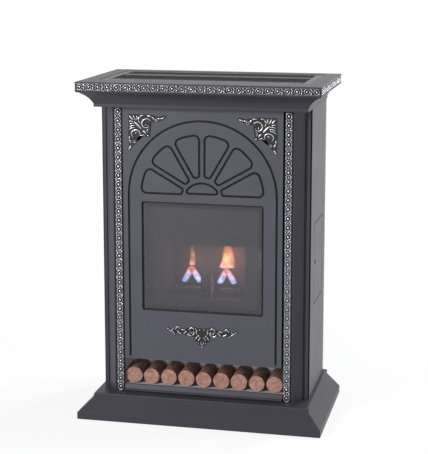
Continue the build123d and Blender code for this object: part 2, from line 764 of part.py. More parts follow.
def burner_manifold():
    """Box manifold with four inclined ports whose flames meet in pairs."""
    depth = grown((BURNER_Y, BURNER_Y), BURNER_DEPTH / 2)
    bar = along_x(rounded(depth, BURNER_Z, 4), (-BURNER_HALF, BURNER_HALF))
    lean = math.sin(math.radians(PORT_TILT))
    rise = math.cos(math.radians(PORT_TILT))
    wall = RegularPolygon(PORT_RADIUS, 8) - RegularPolygon(PORT_RADIUS - PORT_WALL, 8)
    ports = []
    for index, foot in enumerate(PORT_FEET):
        side = 1 if index % 2 == 0 else -1
        root = (foot - side * lean * PORT_LENGTH, BURNER_Y, PORT_Z - rise * PORT_LENGTH)
        across = Plane(origin=root, x_dir=(0, 1, 0), z_dir=(side * lean, 0, rise))
        ports.append(extrude(across * wall, PORT_LENGTH))
    return bar + join(ports)


def burner_venturi():
    """Mixing tube from the injector up to the manifold, with its waist and air slot."""
    foot, waist_start, waist, shoulder = VENTURI_Z
    outline = [
        (0, foot), (VENTURI_RADIUS, foot), (VENTURI_RADIUS, waist_start), (VENTURI_WAIST, waist),
        (VENTURI_RADIUS, shoulder), (VENTURI_RADIUS, BURNER_Z[0]), (0, BURNER_Z[0]),
    ]
    body = Pos(0, BURNER_Y, 0) * revolve(Plane.XZ * polygon(outline), Axis.Z)
    return body - block(grown((0, 0), 20), grown((BURNER_Y, BURNER_Y), 4), AIR_GATE_Z)


def gas_injector():
    """Brass injector under the venturi: a hexagon with a nose."""
    foot, shoulder, tip = INJECTOR_Z
    hexagon = along_z(Pos(0, BURNER_Y) * RegularPolygon(INJECTOR_FLATS, 6), (foot, shoulder))
    return hexagon + along_z(Pos(0, BURNER_Y) * Circle(INJECTOR_NOSE), (shoulder, tip))


def pilot_burner():
    """Pilot tube with a hood, on a bracket that is fixed to the manifold."""
    foot, hood_start, top = PILOT_Z
    rear = BURNER_Y - BURNER_DEPTH / 2
    plate = rectangle(grown((0, 0), PILOT_STEP + 10), (PILOT_Y - 10, rear))
    plate -= Sketch() + [Pos(x, PILOT_Y) * Circle(PROBE_HOLE) for x in (-PILOT_STEP, PILOT_STEP)]
    bracket = along_z(plate, (BURNER_Z[0] + 2, BURNER_Z[0] + 4))
    tube = along_z(Pos(0, PILOT_Y) * Circle(PILOT_RADIUS), (foot, hood_start))
    hood = along_z(Pos(0, PILOT_Y) * Circle(PILOT_HOOD), (hood_start - 2, top))
    port = block(grown((0, 0), 4), grown((PILOT_Y, PILOT_Y), 8), (hood_start + 4, hood_start + 8))
    return bracket + tube + hood - port


def thermocouple():
    """Thermocouple beside the pilot with its capillary to the valve."""
    x = -PILOT_STEP
    foot, sleeve_top, tip = PROBE_Z
    probe = along_z(Pos(x, PILOT_Y) * Circle(2.5), (foot, tip))
    sleeve = along_z(Pos(x, PILOT_Y) * Circle(4), (foot, sleeve_top))
    drop = foot - 74
    route = [(x, PILOT_Y, foot + 1), (x, PILOT_Y, drop), (208, PILOT_Y, drop), (208, 26, drop), (208, 26, 403)]
    return probe + sleeve + tube_run(route, 1.6, PIPE_BENDS["lead"])


def ignition_electrode():
    """Spark electrode: ceramic sleeve with a wire tip beside the pilot hood."""
    foot, sleeve_top, tip = SPARK_Z
    sleeve = along_z(Pos(PILOT_STEP, PILOT_Y) * Circle(4), (foot, sleeve_top))
    return sleeve + along_z(Pos(PILOT_STEP, PILOT_Y) * Circle(1.2), (sleeve_top - 2, tip))


def igniter_lead():
    """Insulated lead from the igniter to the spark electrode."""
    x = PILOT_STEP
    y, z = BUTTON_YZ
    route = [(IGNITER_X[0], y, z), (190, y, z), (190, y, 262), (190, PILOT_Y, 262)]
    route += [(x, PILOT_Y, 262), (x, PILOT_Y, SPARK_Z[0])]
    return tube_run(route, 2.2, PIPE_BENDS["lead"])


def pilot_tube():
    """Thin gas tube from the valve to the pilot burner."""
    route = [(200, 8, 403), (200, 8, 243), (200, PILOT_Y, 243), (0, PILOT_Y, 243), (0, PILOT_Y, 300)]
    return tube_run(route, 2.2, PIPE_BENDS["pilot"])


def burner_supply_pipe():
    """Gas pipe from the valve's outlet to the injector."""
    route = [(222, 15, 393), (222, 15, 208), (222, BURNER_Y, 208), (0, BURNER_Y, 208), (0, BURNER_Y, 250)]
    return tube_run(route, 5, PIPE_BENDS["supply"])


def inlet_pipe():
    """Gas pipe from the union at the back to the valve's inlet."""
    x, z = INLET_XZ
    route = [(x, BACK - 10, z), (x, 46, z), (x, 46, 393)]
    return tube_run(route, INLET_RADIUS, PIPE_BENDS["inlet"])


def gas_inlet_union():
    """Union through the back panel: hexagon, locking nut and the stub for the supply hose."""
    place = Pos(*INLET_XZ)
    inside = BACK - 20
    hexagon = along_y(place * RegularPolygon(HEX_RADIUS, 6), (inside, BACK - SHEET))
    stub = along_y(place * Circle(THREAD_RADIUS), (inside, BACK + 26))
    nut = along_y(place * RegularPolygon(HEX_RADIUS + 3, 6), (BACK, BACK + 5))
    bore = along_y(place * Circle(INLET_RADIUS + SLIP_FIT), (inside - 1, BACK + 27))
    return hexagon + stub + nut - bore


def log_tray():
    """Log niche liner: rolled rail, sloped apron, floor, back and ceiling, with two end walls."""
    rail_y = (RAIL_FRONT, RAIL_FRONT + 4)
    apron = sheet_section(
        [
            (rail_y[1], RAIL_Z[0]), (rail_y[0], RAIL_Z[0]), (rail_y[0], RAIL_Z[1]),
            (rail_y[1], RAIL_Z[1]), (NICHE_MOUTH, NICHE_FLOOR),
        ],
        -SHEET,
    )
    shell = sheet_section(
        [
            (NICHE_MOUTH, NICHE_FLOOR), (NICHE_BACK, NICHE_FLOOR),
            (NICHE_BACK, COVER_BOTTOM - SHEET), (COVER_FACE + 5, COVER_BOTTOM - SHEET),
        ],
        -SHEET,
    )
    wall_x = (NICHE_HALF, NICHE_HALF + SHEET)
    wall = block(wall_x, (NICHE_MOUTH, NICHE_BACK), (NICHE_FLOOR, COVER_BOTTOM - SHEET))
    lip = along_x(apron, (-NICHE_HALF + 1, NICHE_HALF - 1))
    return lip + along_x(shell, (-wall_x[1], wall_x[1])) + join(both_sides(wall))


def log_slice(index):
    """One cut log with a bevelled bark edge. Logs differ a little in girth and length."""
    x = (index - (LOG_COUNT - 1) / 2) * LOG_PITCH
    radius = LOG_RADIUS - 0.5 * ((index * 5) % 3)
    length = LOG_LENGTH - 4 * ((index * 2) % 3)
    log = along_y(Pos(x, NICHE_FLOOR + radius) * Circle(radius), (LOG_FRONT, LOG_FRONT + length))
    return chamfer(log.edges().group_by(Axis.Y)[0], LOG_EDGE)


def mantel_cove():
    """Strip and cove under the slab, one folded moulding on three sides with an inner flange."""
    mid_out, mid_up = COVE_MID
    inset = 1.2
    outside = moulding(
        [(0, BODY_TOP), (0, STRIP_TOP), (mid_out, mid_up, COVE_OUT, COVE_TOP - 1), (COVE_OUT, COVE_TOP)],
        STRIP_HALF,
        STRIP_FRONT,
    )
    inside = moulding(
        [
            (-SHEET, BODY_TOP + SHEET),
            (-SHEET, STRIP_TOP + 0.4),
            (mid_out - inset, mid_up + 1, COVE_OUT - SHEET, COVE_TOP - 0.4),
            (COVE_OUT - SHEET, COVE_TOP + 1),
        ],
        STRIP_HALF,
        STRIP_FRONT,
        BACK - SHEET,
    )
    throat = block((-THROAT_HALF, THROAT_HALF), THROAT_Y, (BODY_TOP - 1, BODY_TOP + 3))
    return outside - inside - throat


def mantel_slab():
    """Mantel slab: an inverted tray with a moulded edge, a channel for the silver band and a
    rebated opening for the top grille."""
    spread = MANTEL_SPREAD
    floor = spread - CHANNEL_DEPTH
    mouth_out, nose_out = SLAB_LIP
    outside = moulding(
        [
            (mouth_out, COVE_TOP),
            (nose_out, COVE_TOP),
            (spread - 2.1, COVE_TOP + 1.9, spread, BAND_Z[0] - 1),
            (spread, BAND_Z[0]),
            (floor, BAND_Z[0]),
            (floor, BAND_Z[1]),
            (spread, BAND_Z[1]),
            (spread, HEIGHT - SLAB_ROUND),
            round_over(SLAB_ROUND, spread, HEIGHT),
        ],
        STRIP_HALF,
        STRIP_FRONT,
    )
    inner = floor - PLINTH_WALL
    hollow = block(
        grown((0, 0), STRIP_HALF + inner),
        (STRIP_FRONT - inner, BACK - PLINTH_WALL),
        (COVE_TOP + SHEET, HEIGHT - SLAB_TOP_SHEET),
    )
    mouth_x = grown((0, 0), STRIP_HALF + mouth_out)
    mouth = block(mouth_x, (STRIP_FRONT - mouth_out, BACK - 12), (COVE_TOP - 1, COVE_TOP + 2))
    tray = outside - hollow - mouth
    seat_x = grown((0, 0), GRILLE_HALF)
    opening = block(seat_x, GRILLE_Y, (GRILLE_LEDGE_Z, HEIGHT + 1))
    rebate = block(grown(seat_x, SHEET), grown(GRILLE_Y, SHEET), (GRILLE_LEDGE_Z - SHEET, HEIGHT - 1))
    air = block(grown(seat_x, -8), grown(GRILLE_Y, -8), (GRILLE_LEDGE_Z - 5, HEIGHT))
    return tray + rebate - opening - air


def mantel_front_trim():
    """Silver band in the slab's front channel, mitred at both ends."""
    out = STRIP_HALF + MANTEL_SPREAD
    inn = out - CHANNEL_DEPTH
    y = STRIP_FRONT - MANTEL_SPREAD
    plan = polygon([(-out, y), (out, y), (inn, y + CHANNEL_DEPTH), (-inn, y + CHANNEL_DEPTH)])
    return along_z(plan, BAND_Z)


def mantel_side_trims():
    """Silver bands in the slab's two side channels."""
    out = STRIP_HALF + MANTEL_SPREAD
    inn = out - CHANNEL_DEPTH
    y = STRIP_FRONT - MANTEL_SPREAD
    plan = polygon([(out, y), (out, BACK), (inn, BACK), (inn, y + CHANNEL_DEPTH)])
    return both_sides(along_z(plan, BAND_Z))


def top_grille():
    """Hot-air grille: a border frame that drops in the slab's rebate, with tilted slats."""
    x = grown((-GRILLE_HALF, GRILLE_HALF), -GAP)
    y = grown(GRILLE_Y, -GAP)
    z = (GRILLE_LEDGE_Z, HEIGHT - 1)
    inner_x = grown(x, -GRILLE_BORDER)
    inner_y = grown(y, -GRILLE_BORDER)
    frame = block(x, y, z) - block(inner_x, inner_y, grown(z, 1))
    pitch = (inner_y[1] - inner_y[0]) / SLAT_COUNT
    slats = []
    for i in range(SLAT_COUNT):
        centre = (inner_y[0] + (i + 0.5) * pitch, (z[0] + z[1]) / 2 - 2)
        blade = Pos(*centre) * Rot(0, 0, SLAT_TILT) * Rectangle(SLAT_WIDTH, SHEET)
        slats.append(along_x(blade, inner_x))
    ribs = [block((x - 1, x + 1), inner_y, (z[0] - 3, z[0] + 1)) for x in (-88, 88)]
    return frame + join(slats) + join(ribs)


def build():
    """All pieces by node name."""
    parts = {
        "base_plinth": base_plinth(),
        "floor_pan": floor_pan(),
        "right_side_panel": side_panel() - hatch_hole(),
        "left_side_panel": mirror(side_panel(), about=Plane.YZ),
        "rear_panel": rear_panel(),
        "rear_panel_screws": rear_panel_screws(),
        "heat_shield": heat_shield(),
        "right_pilaster": pilaster(),
        "left_pilaster": mirror(pilaster(), about=Plane.YZ),
        "right_column_trim": column_trim(),
        "left_column_trim": mirror(column_trim(), about=Plane.YZ),
        "front_cover": front_cover(),
        "left_corner_scroll": corner_scroll(),
        "right_corner_scroll": mirror(corner_scroll(), about=Plane.YZ),
        "garland_ornament": garland_ornament(),
        "glass_pane": glass_pane(),
        "glass_seal": glass_seal(),
        "window_frame": window_frame(),
        "firebox_front": firebox_front(),
        "combustion_chamber": combustion_chamber(),
        "flue_duct": flue_duct(),
        "flue_collar": flue_collar(),
        "right_chassis_rail": chassis_rail(),
        "left_chassis_rail": mirror(chassis_rail(), about=Plane.YZ),
        "burner_manifold": burner_manifold(),
        "burner_venturi": burner_venturi(),
        "gas_injector": gas_injector(),
        "pilot_burner": pilot_burner(),
        "thermocouple": thermocouple(),
        "ignition_electrode": ignition_electrode(),
        "igniter_lead": igniter_lead(),
        "pilot_tube": pilot_tube(),
        "burner_supply_pipe": burner_supply_pipe(),
        "inlet_pipe": inlet_pipe(),
        "gas_inlet_union": gas_inlet_union(),
        "gas_valve": gas_valve(),
        "control_pan": control_pan(),
        "knob_spindle": knob_spindle(),
        "control_knob": control_knob(),
        "piezo_igniter": piezo_igniter(),
        "piezo_button": piezo_button(),
        "side_access_door": side_access_door(),
        "door_hinge_pins": pin_blanks(HINGE_PIN_RADIUS),
        "door_catch": door_catch(),
        "log_tray": log_tray(),
        "mantel_cove": mantel_cove(),
        "mantel_slab": mantel_slab(),
        "mantel_front_trim": mantel_front_trim(),
        "mantel_side_trims": mantel_side_trims(),
        "top_grille": top_grille(),
    }
    for index in range(LOG_COUNT):
        parts[f"log_{index + 1}"] = log_slice(index)
    return parts


os.makedirs("parts", exist_ok=True)
for name, shape in build().items():
    whole = Compound(children=shape) if isinstance(shape, list) else shape
    export_step(whole, f"parts/{name}.step")
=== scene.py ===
"""Looks of a free-standing gas fireplace heater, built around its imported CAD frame."""

import logging
import math
import random
from dataclasses import dataclass
from enum import Enum
from typing import Callable, Sequence

import bmesh
import bpy
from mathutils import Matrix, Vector, noise


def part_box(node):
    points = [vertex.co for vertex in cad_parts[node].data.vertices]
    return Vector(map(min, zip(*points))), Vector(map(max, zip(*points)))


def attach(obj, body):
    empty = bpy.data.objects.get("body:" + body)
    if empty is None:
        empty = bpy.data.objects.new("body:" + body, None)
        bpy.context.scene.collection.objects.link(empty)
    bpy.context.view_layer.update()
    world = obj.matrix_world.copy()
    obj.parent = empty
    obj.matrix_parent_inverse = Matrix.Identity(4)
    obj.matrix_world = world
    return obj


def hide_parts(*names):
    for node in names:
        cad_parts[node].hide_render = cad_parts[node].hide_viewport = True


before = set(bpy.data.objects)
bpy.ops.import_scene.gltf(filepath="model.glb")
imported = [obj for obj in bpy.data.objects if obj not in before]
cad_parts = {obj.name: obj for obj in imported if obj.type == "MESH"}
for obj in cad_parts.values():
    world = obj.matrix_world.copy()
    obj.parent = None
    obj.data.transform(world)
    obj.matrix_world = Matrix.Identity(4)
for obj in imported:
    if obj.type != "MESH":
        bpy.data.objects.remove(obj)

LOG = logging.getLogger("heater")
MM = 0.001
# Sockets of the colour Mix node, which share their names with its other types.
MIX_A, MIX_B, MIX_RESULT = 6, 7, 2
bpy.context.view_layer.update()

Point = tuple[float, float]
Triple = tuple[float, float, float]


def linear(code: str) -> tuple[float, float, float, float]:
    """Turn an sRGB hex colour into a linear RGBA colour.

    Args:
        code: Six hex digits.

    Returns:
        Linear red, green, blue and an alpha of one.
    """
    parts = [int(code[i : i + 2], 16) / 255 for i in (0, 2, 4)]
    flat = [c / 12.92 if c <= 0.04045 else ((c + 0.055) / 1.055) ** 2.4 for c in parts]
    return (*flat, 1.0)


def per_feature(size_mm: float) -> float:
    """Texture scale that gives features of a real size.

    Args:
        size_mm: Size of one feature in millimetres.

    Returns:
        Scale for a texture node fed with object coordinates in metres.
    """
    return 1000.0 / size_mm


def add_node(tree: bpy.types.NodeTree, kind: str, inputs: dict | None = None, **settings):
    """Add one node, set its properties and fill or link its inputs.

    Args:
        tree: Node tree that receives the node.
        kind: Blender's type name of the node.
        inputs: Values or output sockets by input name or index.
        **settings: Properties of the node.

    Returns:
        The new node.
    """
    node = tree.nodes.new(kind)
    for key, value in settings.items():
        setattr(node, key, value)
    for key, value in (inputs or {}).items():
        socket = node.inputs[key]
        if isinstance(value, bpy.types.NodeSocket):
            tree.links.new(value, socket)
        else:
            socket.default_value = value
    return node


def ramp(tree: bpy.types.NodeTree, factor, stops: Sequence[tuple[float, str]]):
    """Add a colour ramp and return its colour output.

    Args:
        tree: Node tree that receives the ramp.
        factor: Socket that drives the ramp.
        stops: Pairs of a position and an sRGB hex colour.

    Returns:
        The ramp's colour socket.
    """
    node = add_node(tree, "ShaderNodeValToRGB", {"Fac": factor})
    elements = node.color_ramp.elements
    while len(elements) < len(stops):
        elements.new(1.0)
    for element, (position, code) in zip(elements, stops):
        element.position = position
        element.color = linear(code)
    return node.outputs["Color"]


def calculate(tree: bpy.types.NodeTree, operation: str, *values) -> bpy.types.NodeSocket:
    """Add a math node.

    Args:
        tree: Node tree that receives the node.
        operation: Blender's name of the operation.
        *values: Numbers or sockets, in the node's order.

    Returns:
        The socket with the result.
    """
    return add_node(tree, "ShaderNodeMath", dict(enumerate(values)), operation=operation).outputs[0]


def remap(tree, value, low: float, high: float, to_low=0.0, to_high=1.0) -> bpy.types.NodeSocket:
    """Map a range of values to another one and hold it at the ends.

    Args:
        tree: Node tree that receives the node.
        value: Socket to map.
        low: Value that becomes to_low.
        high: Value that becomes to_high.
        to_low: Result at the low end.
        to_high: Result at the high end.

    Returns:
        The socket with the result.
    """
    ends = {"Value": value, 1: low, 2: high, 3: to_low, 4: to_high}
    return add_node(tree, "ShaderNodeMapRange", ends).outputs["Result"]


def speckle(tree, place, size_mm: float, detail: float) -> bpy.types.NodeSocket:
    """Add noise with features of a real size.

    Args:
        tree: Node tree that receives the node.
        place: Socket with object coordinates.
        size_mm: Size of one feature in millimetres.
        detail: Levels of finer noise.

    Returns:
        The socket with the noise.
    """
    inputs = {"Vector": place, "Scale": per_feature(size_mm), "Detail": detail}
    return add_node(tree, "ShaderNodeTexNoise", inputs).outputs["Fac"]


def along(tree, place, axis: str) -> bpy.types.NodeSocket:
    """Pick one axis out of a position.

    Args:
        tree: Node tree that receives the node.
        place: Socket with the position.
        axis: X, Y or Z.

    Returns:
        The socket with the coordinate.
    """
    return add_node(tree, "ShaderNodeSeparateXYZ", {"Vector": place}).outputs[axis]


def blend(tree, factor, under, over) -> bpy.types.NodeSocket:
    """Mix two colours.

    Args:
        tree: Node tree that receives the node.
        factor: Socket that is zero for the first colour and one for the second.
        under: First colour.
        over: Second colour.

    Returns:
        The socket with the mixed colour.
    """
    inputs = {"Factor": factor, MIX_A: under, MIX_B: over}
    return add_node(tree, "ShaderNodeMix", inputs, data_type="RGBA").outputs[MIX_RESULT]


def blank_material(name: str) -> bpy.types.Material:
    """Make a node material without nodes.

    Args:
        name: Name of the material.

    Returns:
        The empty material.
    """
    made = bpy.data.materials.new(name)
    made.use_nodes = True
    made.node_tree.nodes.clear()
    return made


@dataclass(frozen=True)
class Finish:
    """A surface finish: base colour, gloss, a fine grain and softened sheet edges."""

    name: str
    colour: str
    roughness: float = 0.5
    metallic: float = 0.0
    grain_mm: float = 1.2
    grain_depth_mm: float = 0.0
    mottle_mm: float = 60.0
    mottle: float = 0.06
    edge_mm: float = 0.0
    coat: float = 0.0
    coat_roughness: float = 0.2
    specular: float = 0.5

    def material(self) -> bpy.types.Material:
        """Build the finish.

        Returns:
            A node material named after the finish.
        """
        made = blank_material(self.name)
        tree = made.node_tree
        place = add_node(tree, "ShaderNodeTexCoord").outputs["Object"]
        shader = add_node(tree, "ShaderNodeBsdfPrincipled")
        for socket, value in (
            ("Base Color", linear(self.colour)),
            ("Roughness", self.roughness),
            ("Metallic", self.metallic),
            ("Coat Weight", self.coat),
            ("Coat Roughness", self.coat_roughness),
            ("Specular IOR Level", self.specular),
        ):
            shader.inputs[socket].default_value = value
        self.surface(tree, shader, place)
        self.relief(tree, shader, place)
        output = add_node(tree, "ShaderNodeOutputMaterial")
        tree.links.new(shader.outputs["BSDF"], output.inputs["Surface"])
        return made

    def surface(self, tree, shader, place) -> None:
        """Vary colour and gloss a little over the surface, as handling and curing leave it."""
        cloud = speckle(tree, place, self.mottle_mm, 3.0)
        tone = add_node(
            tree,
            "ShaderNodeVectorMath",
            {0: linear(self.colour)[:3], "Scale": remap(tree, cloud, 0.3, 0.7, 1 - self.mottle, 1 + self.mottle)},
            operation="SCALE",
        )
        tree.links.new(tone.outputs["Vector"], shader.inputs["Base Color"])
        gloss = remap(tree, cloud, 0.3, 0.7, self.roughness - 0.02, self.roughness + 0.03)
        tree.links.new(gloss, shader.inputs["Roughness"])

    def overlay(self, tree, shader, factor, colour) -> None:
        """Lay another colour over the coat.

        Args:
            tree: Node tree of the finish.
            shader: Its surface shader.
            factor: Socket that is one where the other colour shows.
            colour: The other colour, as a value or a socket.
        """
        coat = shader.inputs["Base Color"].links[0].from_socket
        tree.links.new(blend(tree, factor, coat, colour), shader.inputs["Base Color"])

    def relief(self, tree, shader, place) -> None:
        """Soften edges by their bend radius and add the fine grain as a bump."""
        normal = None
        if self.edge_mm:
            normal = add_node(tree, "ShaderNodeBevel", {"Radius": self.edge_mm * MM}, samples=4).outputs["Normal"]
        if self.grain_depth_mm:
            grain = speckle(tree, place, self.grain_mm, 2.0)
            bump = add_node(tree, "ShaderNodeBump", {"Height": grain, "Distance": self.grain_depth_mm * MM})
            if normal:
                tree.links.new(normal, bump.inputs["Normal"])
            normal = bump.outputs["Normal"]
        if normal:
            tree.links.new(normal, shader.inputs["Normal"])


@dataclass(frozen=True)
class PressedCover(Finish):
    """The casing's coat on the pressed cover, with painted shade in near black in its grooves."""

    face_mm: float = -136.0
    # Near black painted shade for the grooves.
    groove_shade_colour: str = "0c0b0e"

    def surface(self, tree, shader, place) -> None:
        """Paint shade near black where the sheet dips below its face, in the grooves."""
        super().surface(tree, shader, place)
        groove_shade_mask = remap(tree, along(tree, place, "Y"), (self.face_mm + 0.05) * MM, (self.face_mm + 0.4) * MM)
        self.overlay(tree, shader, groove_shade_mask, linear(self.groove_shade_colour))


@dataclass(frozen=True)
class NicheLiner(Finish):
    """Niche liner: the casing's coat on its apron, painted much paler deeper in as painted light caught inside the
    niche.
    """

    mouth_mm: float = -124.0
    # Pale colour painted deeper in, standing for light caught inside the niche.
    inner: str = "d2d2d4"

    def surface(self, tree, shader, place) -> None:
        """Change to the pale painted light behind the mouth."""
        super().surface(tree, shader, place)
        inside = remap(tree, along(tree, place, "Y"), self.mouth_mm * MM, (self.mouth_mm + 3) * MM)
        self.overlay(tree, shader, inside, linear(self.inner))


@dataclass(frozen=True)
class SlattedGrille(Finish):
    """Grille coat with bands of painted highlight and painted shade along the grille.

    The bands do not follow the solid's slats: the solid's pitch is larger than pitch_mm.
    """

    inner_mm: Point = (1.0, 107.0)
    reach_mm: float = 254.0
    pitch_mm: float = 21.0
    # Painted highlight colour and painted shade colour of the bands.
    painted_highlight: str = "8a8990"
    painted_shade: str = "141317"

    def surface(self, tree, shader, place) -> None:
        """Stripe painted highlights and painted shade over the field inside the border along its length."""
        super().surface(tree, shader, place)
        depth = along(tree, place, "Y")
        share = calculate(tree, "FRACT", calculate(tree, "DIVIDE", depth, self.pitch_mm * MM))
        dark, light = ((0.0, self.painted_shade), (0.34, self.painted_shade)), ((0.44, self.painted_highlight), (0.6, self.painted_highlight))
        band = ramp(tree, share, [*dark, *light, (0.74, self.colour), (1.0, self.painted_shade)])
        centre, half = self.inner_mm
        reach = calculate(tree, "ABSOLUTE", along(tree, place, "X"))
        across = calculate(tree, "ABSOLUTE", calculate(tree, "SUBTRACT", depth, centre * MM))
        inside = [
            calculate(tree, "LESS_THAN", value, limit * MM)
            for value, limit in ((reach, self.reach_mm), (across, half))
        ]
        self.overlay(tree, shader, calculate(tree, "MULTIPLY", *inside), band)


@dataclass(frozen=True)
class JointedPanel(Finish):
    """The casing's coat with a dark shadow line along the joint between hatch and panel."""

    centre_mm: Point = (30.0, 415.5)
    half_mm: Point = (69.0, 108.5)
    line_mm: float = 3.2
    shade: str = "121115"

    def surface(self, tree, shader, place) -> None:
        """Darken a narrow band on both sides of the joint."""
        super().surface(tree, shader, place)
        reach = []
        for axis, centre, half in zip("YZ", self.centre_mm, self.half_mm):
            off = calculate(tree, "SUBTRACT", along(tree, place, axis), centre * MM)
            reach.append(calculate(tree, "SUBTRACT", calculate(tree, "ABSOLUTE", off), half * MM))
        away = calculate(tree, "ABSOLUTE", calculate(tree, "MAXIMUM", *reach))
        line = remap(tree, away, self.line_mm * MM, (self.line_mm + 1) * MM, 1.0, 0.0)
        self.overlay(tree, shader, line, linear(self.shade))


@dataclass(frozen=True)
class AntiqueSilver(Finish):
    """Silver-plated casting, blackened and rubbed back: bright crests over black hollows."""

    patina: str = "0b0a0d"

    def surface(self, tree, shader, place) -> None:
        """Follow the crest height stored on the casting's points."""
        crest = add_node(tree, "ShaderNodeAttribute", attribute_name="crest").outputs["Fac"]
        worn = calculate(tree, "MULTIPLY_ADD", speckle(tree, place, 5.0, 3.0), -0.35, 0.17)
        clean = remap(tree, calculate(tree, "ADD", crest, worn), 0.34, 0.95)
        colour = ramp(tree, clean, [(0.0, self.patina), (0.5, "4c4a51"), (1.0, self.colour)])
        tree.links.new(colour, shader.inputs["Base Color"])
        tree.links.new(remap(tree, clean, 0.0, 1.0, 0.6, self.roughness), shader.inputs["Roughness"])
        tree.links.new(remap(tree, clean, 0.0, 1.0, 0.2, 1.0), shader.inputs["Metallic"])


@dataclass(frozen=True)
class TintedCeramicGlass(Finish):
    """Polished ceramic glass with a smoky reflective coating, half clear."""

    cover: float = 0.5

    def surface(self, tree, shader, place) -> None:
        """Let about half of the light straight through."""
        shader.inputs["Alpha"].default_value = self.cover


@dataclass(frozen=True)
class SawnLogEnd(Finish):
    """Painted ceramic-fibre log: sawn face with year rings, brown bark round it."""

    bark: str = "94705e"
    ring_rate: float = 42.0

    def surface(self, tree, shader, place) -> None:
        """Draw year rings from the stored distance to the pith and bark from the rim on."""
        reach = add_node(tree, "ShaderNodeAttribute", attribute_name="reach").outputs["Fac"]
        ring = calculate(tree, "MULTIPLY_ADD", speckle(tree, place, 14.0, 4.0), 0.22, reach)
        wave = calculate(tree, "SINE", calculate(tree, "MULTIPLY", ring, self.ring_rate))
        rings = remap(tree, wave, -1.0, 1.0, 0.42, 0.58)
        tone = calculate(tree, "MULTIPLY_ADD", speckle(tree, place, 9.0, 5.0), 0.5, rings)
        sawn = ramp(tree, tone, [(0.55, "6d4c42"), (0.75, self.colour), (0.95, "c2a293")])
        fibre = speckle(tree, place, 5.0, 6.0)
        skin = ramp(tree, fibre, [(0.35, "5a3f35"), (0.6, self.bark), (0.8, "b09180")])
        mix = blend(tree, remap(tree, reach, 0.985, 1.01), sawn, skin)
        tree.links.new(mix, shader.inputs["Base Color"])


@dataclass(frozen=True)
class BurningGas(Finish):
    """Gas flame: a glowing body of gas, blue-white at the port, rosy above and amber at the tip."""

    foot_mm: float = 352.0
    tip_mm: float = 462.0
    strength: float = 420.0
    stops: tuple[tuple[float, str], ...] = (
        (0.0, "7f9cff"),
        (0.14, "c9d3ff"),
        (0.34, "ff9aa0"),
        (0.62, "ffb27a"),
        (1.0, "ff8a4a"),
    )

    def material(self) -> bpy.types.Material:
        """Build the flame as a glowing volume that thins out towards its tip.

        Returns:
            A node material with a volume and no surface.
        """
        made = blank_material(self.name)
        tree = made.node_tree
        place = add_node(tree, "ShaderNodeTexCoord").outputs["Object"]
        level = remap(tree, along(tree, place, "Z"), self.foot_mm * MM, self.tip_mm * MM)
        body = remap(tree, speckle(tree, place, 16.0, 2.0), 0.3, 0.65, 0.25, 1.0)
        dense = calculate(tree, "MULTIPLY", body, remap(tree, level, 0.25, 1.0, 1.0, 0.3))
        power = calculate(tree, "MULTIPLY", dense, self.strength)
        glow = add_node(tree, "ShaderNodeEmission", {"Color": ramp(tree, level, self.stops), "Strength": power})
        output = add_node(tree, "ShaderNodeOutputMaterial")
        tree.links.new(glow.outputs["Emission"], output.inputs["Volume"])
        return made


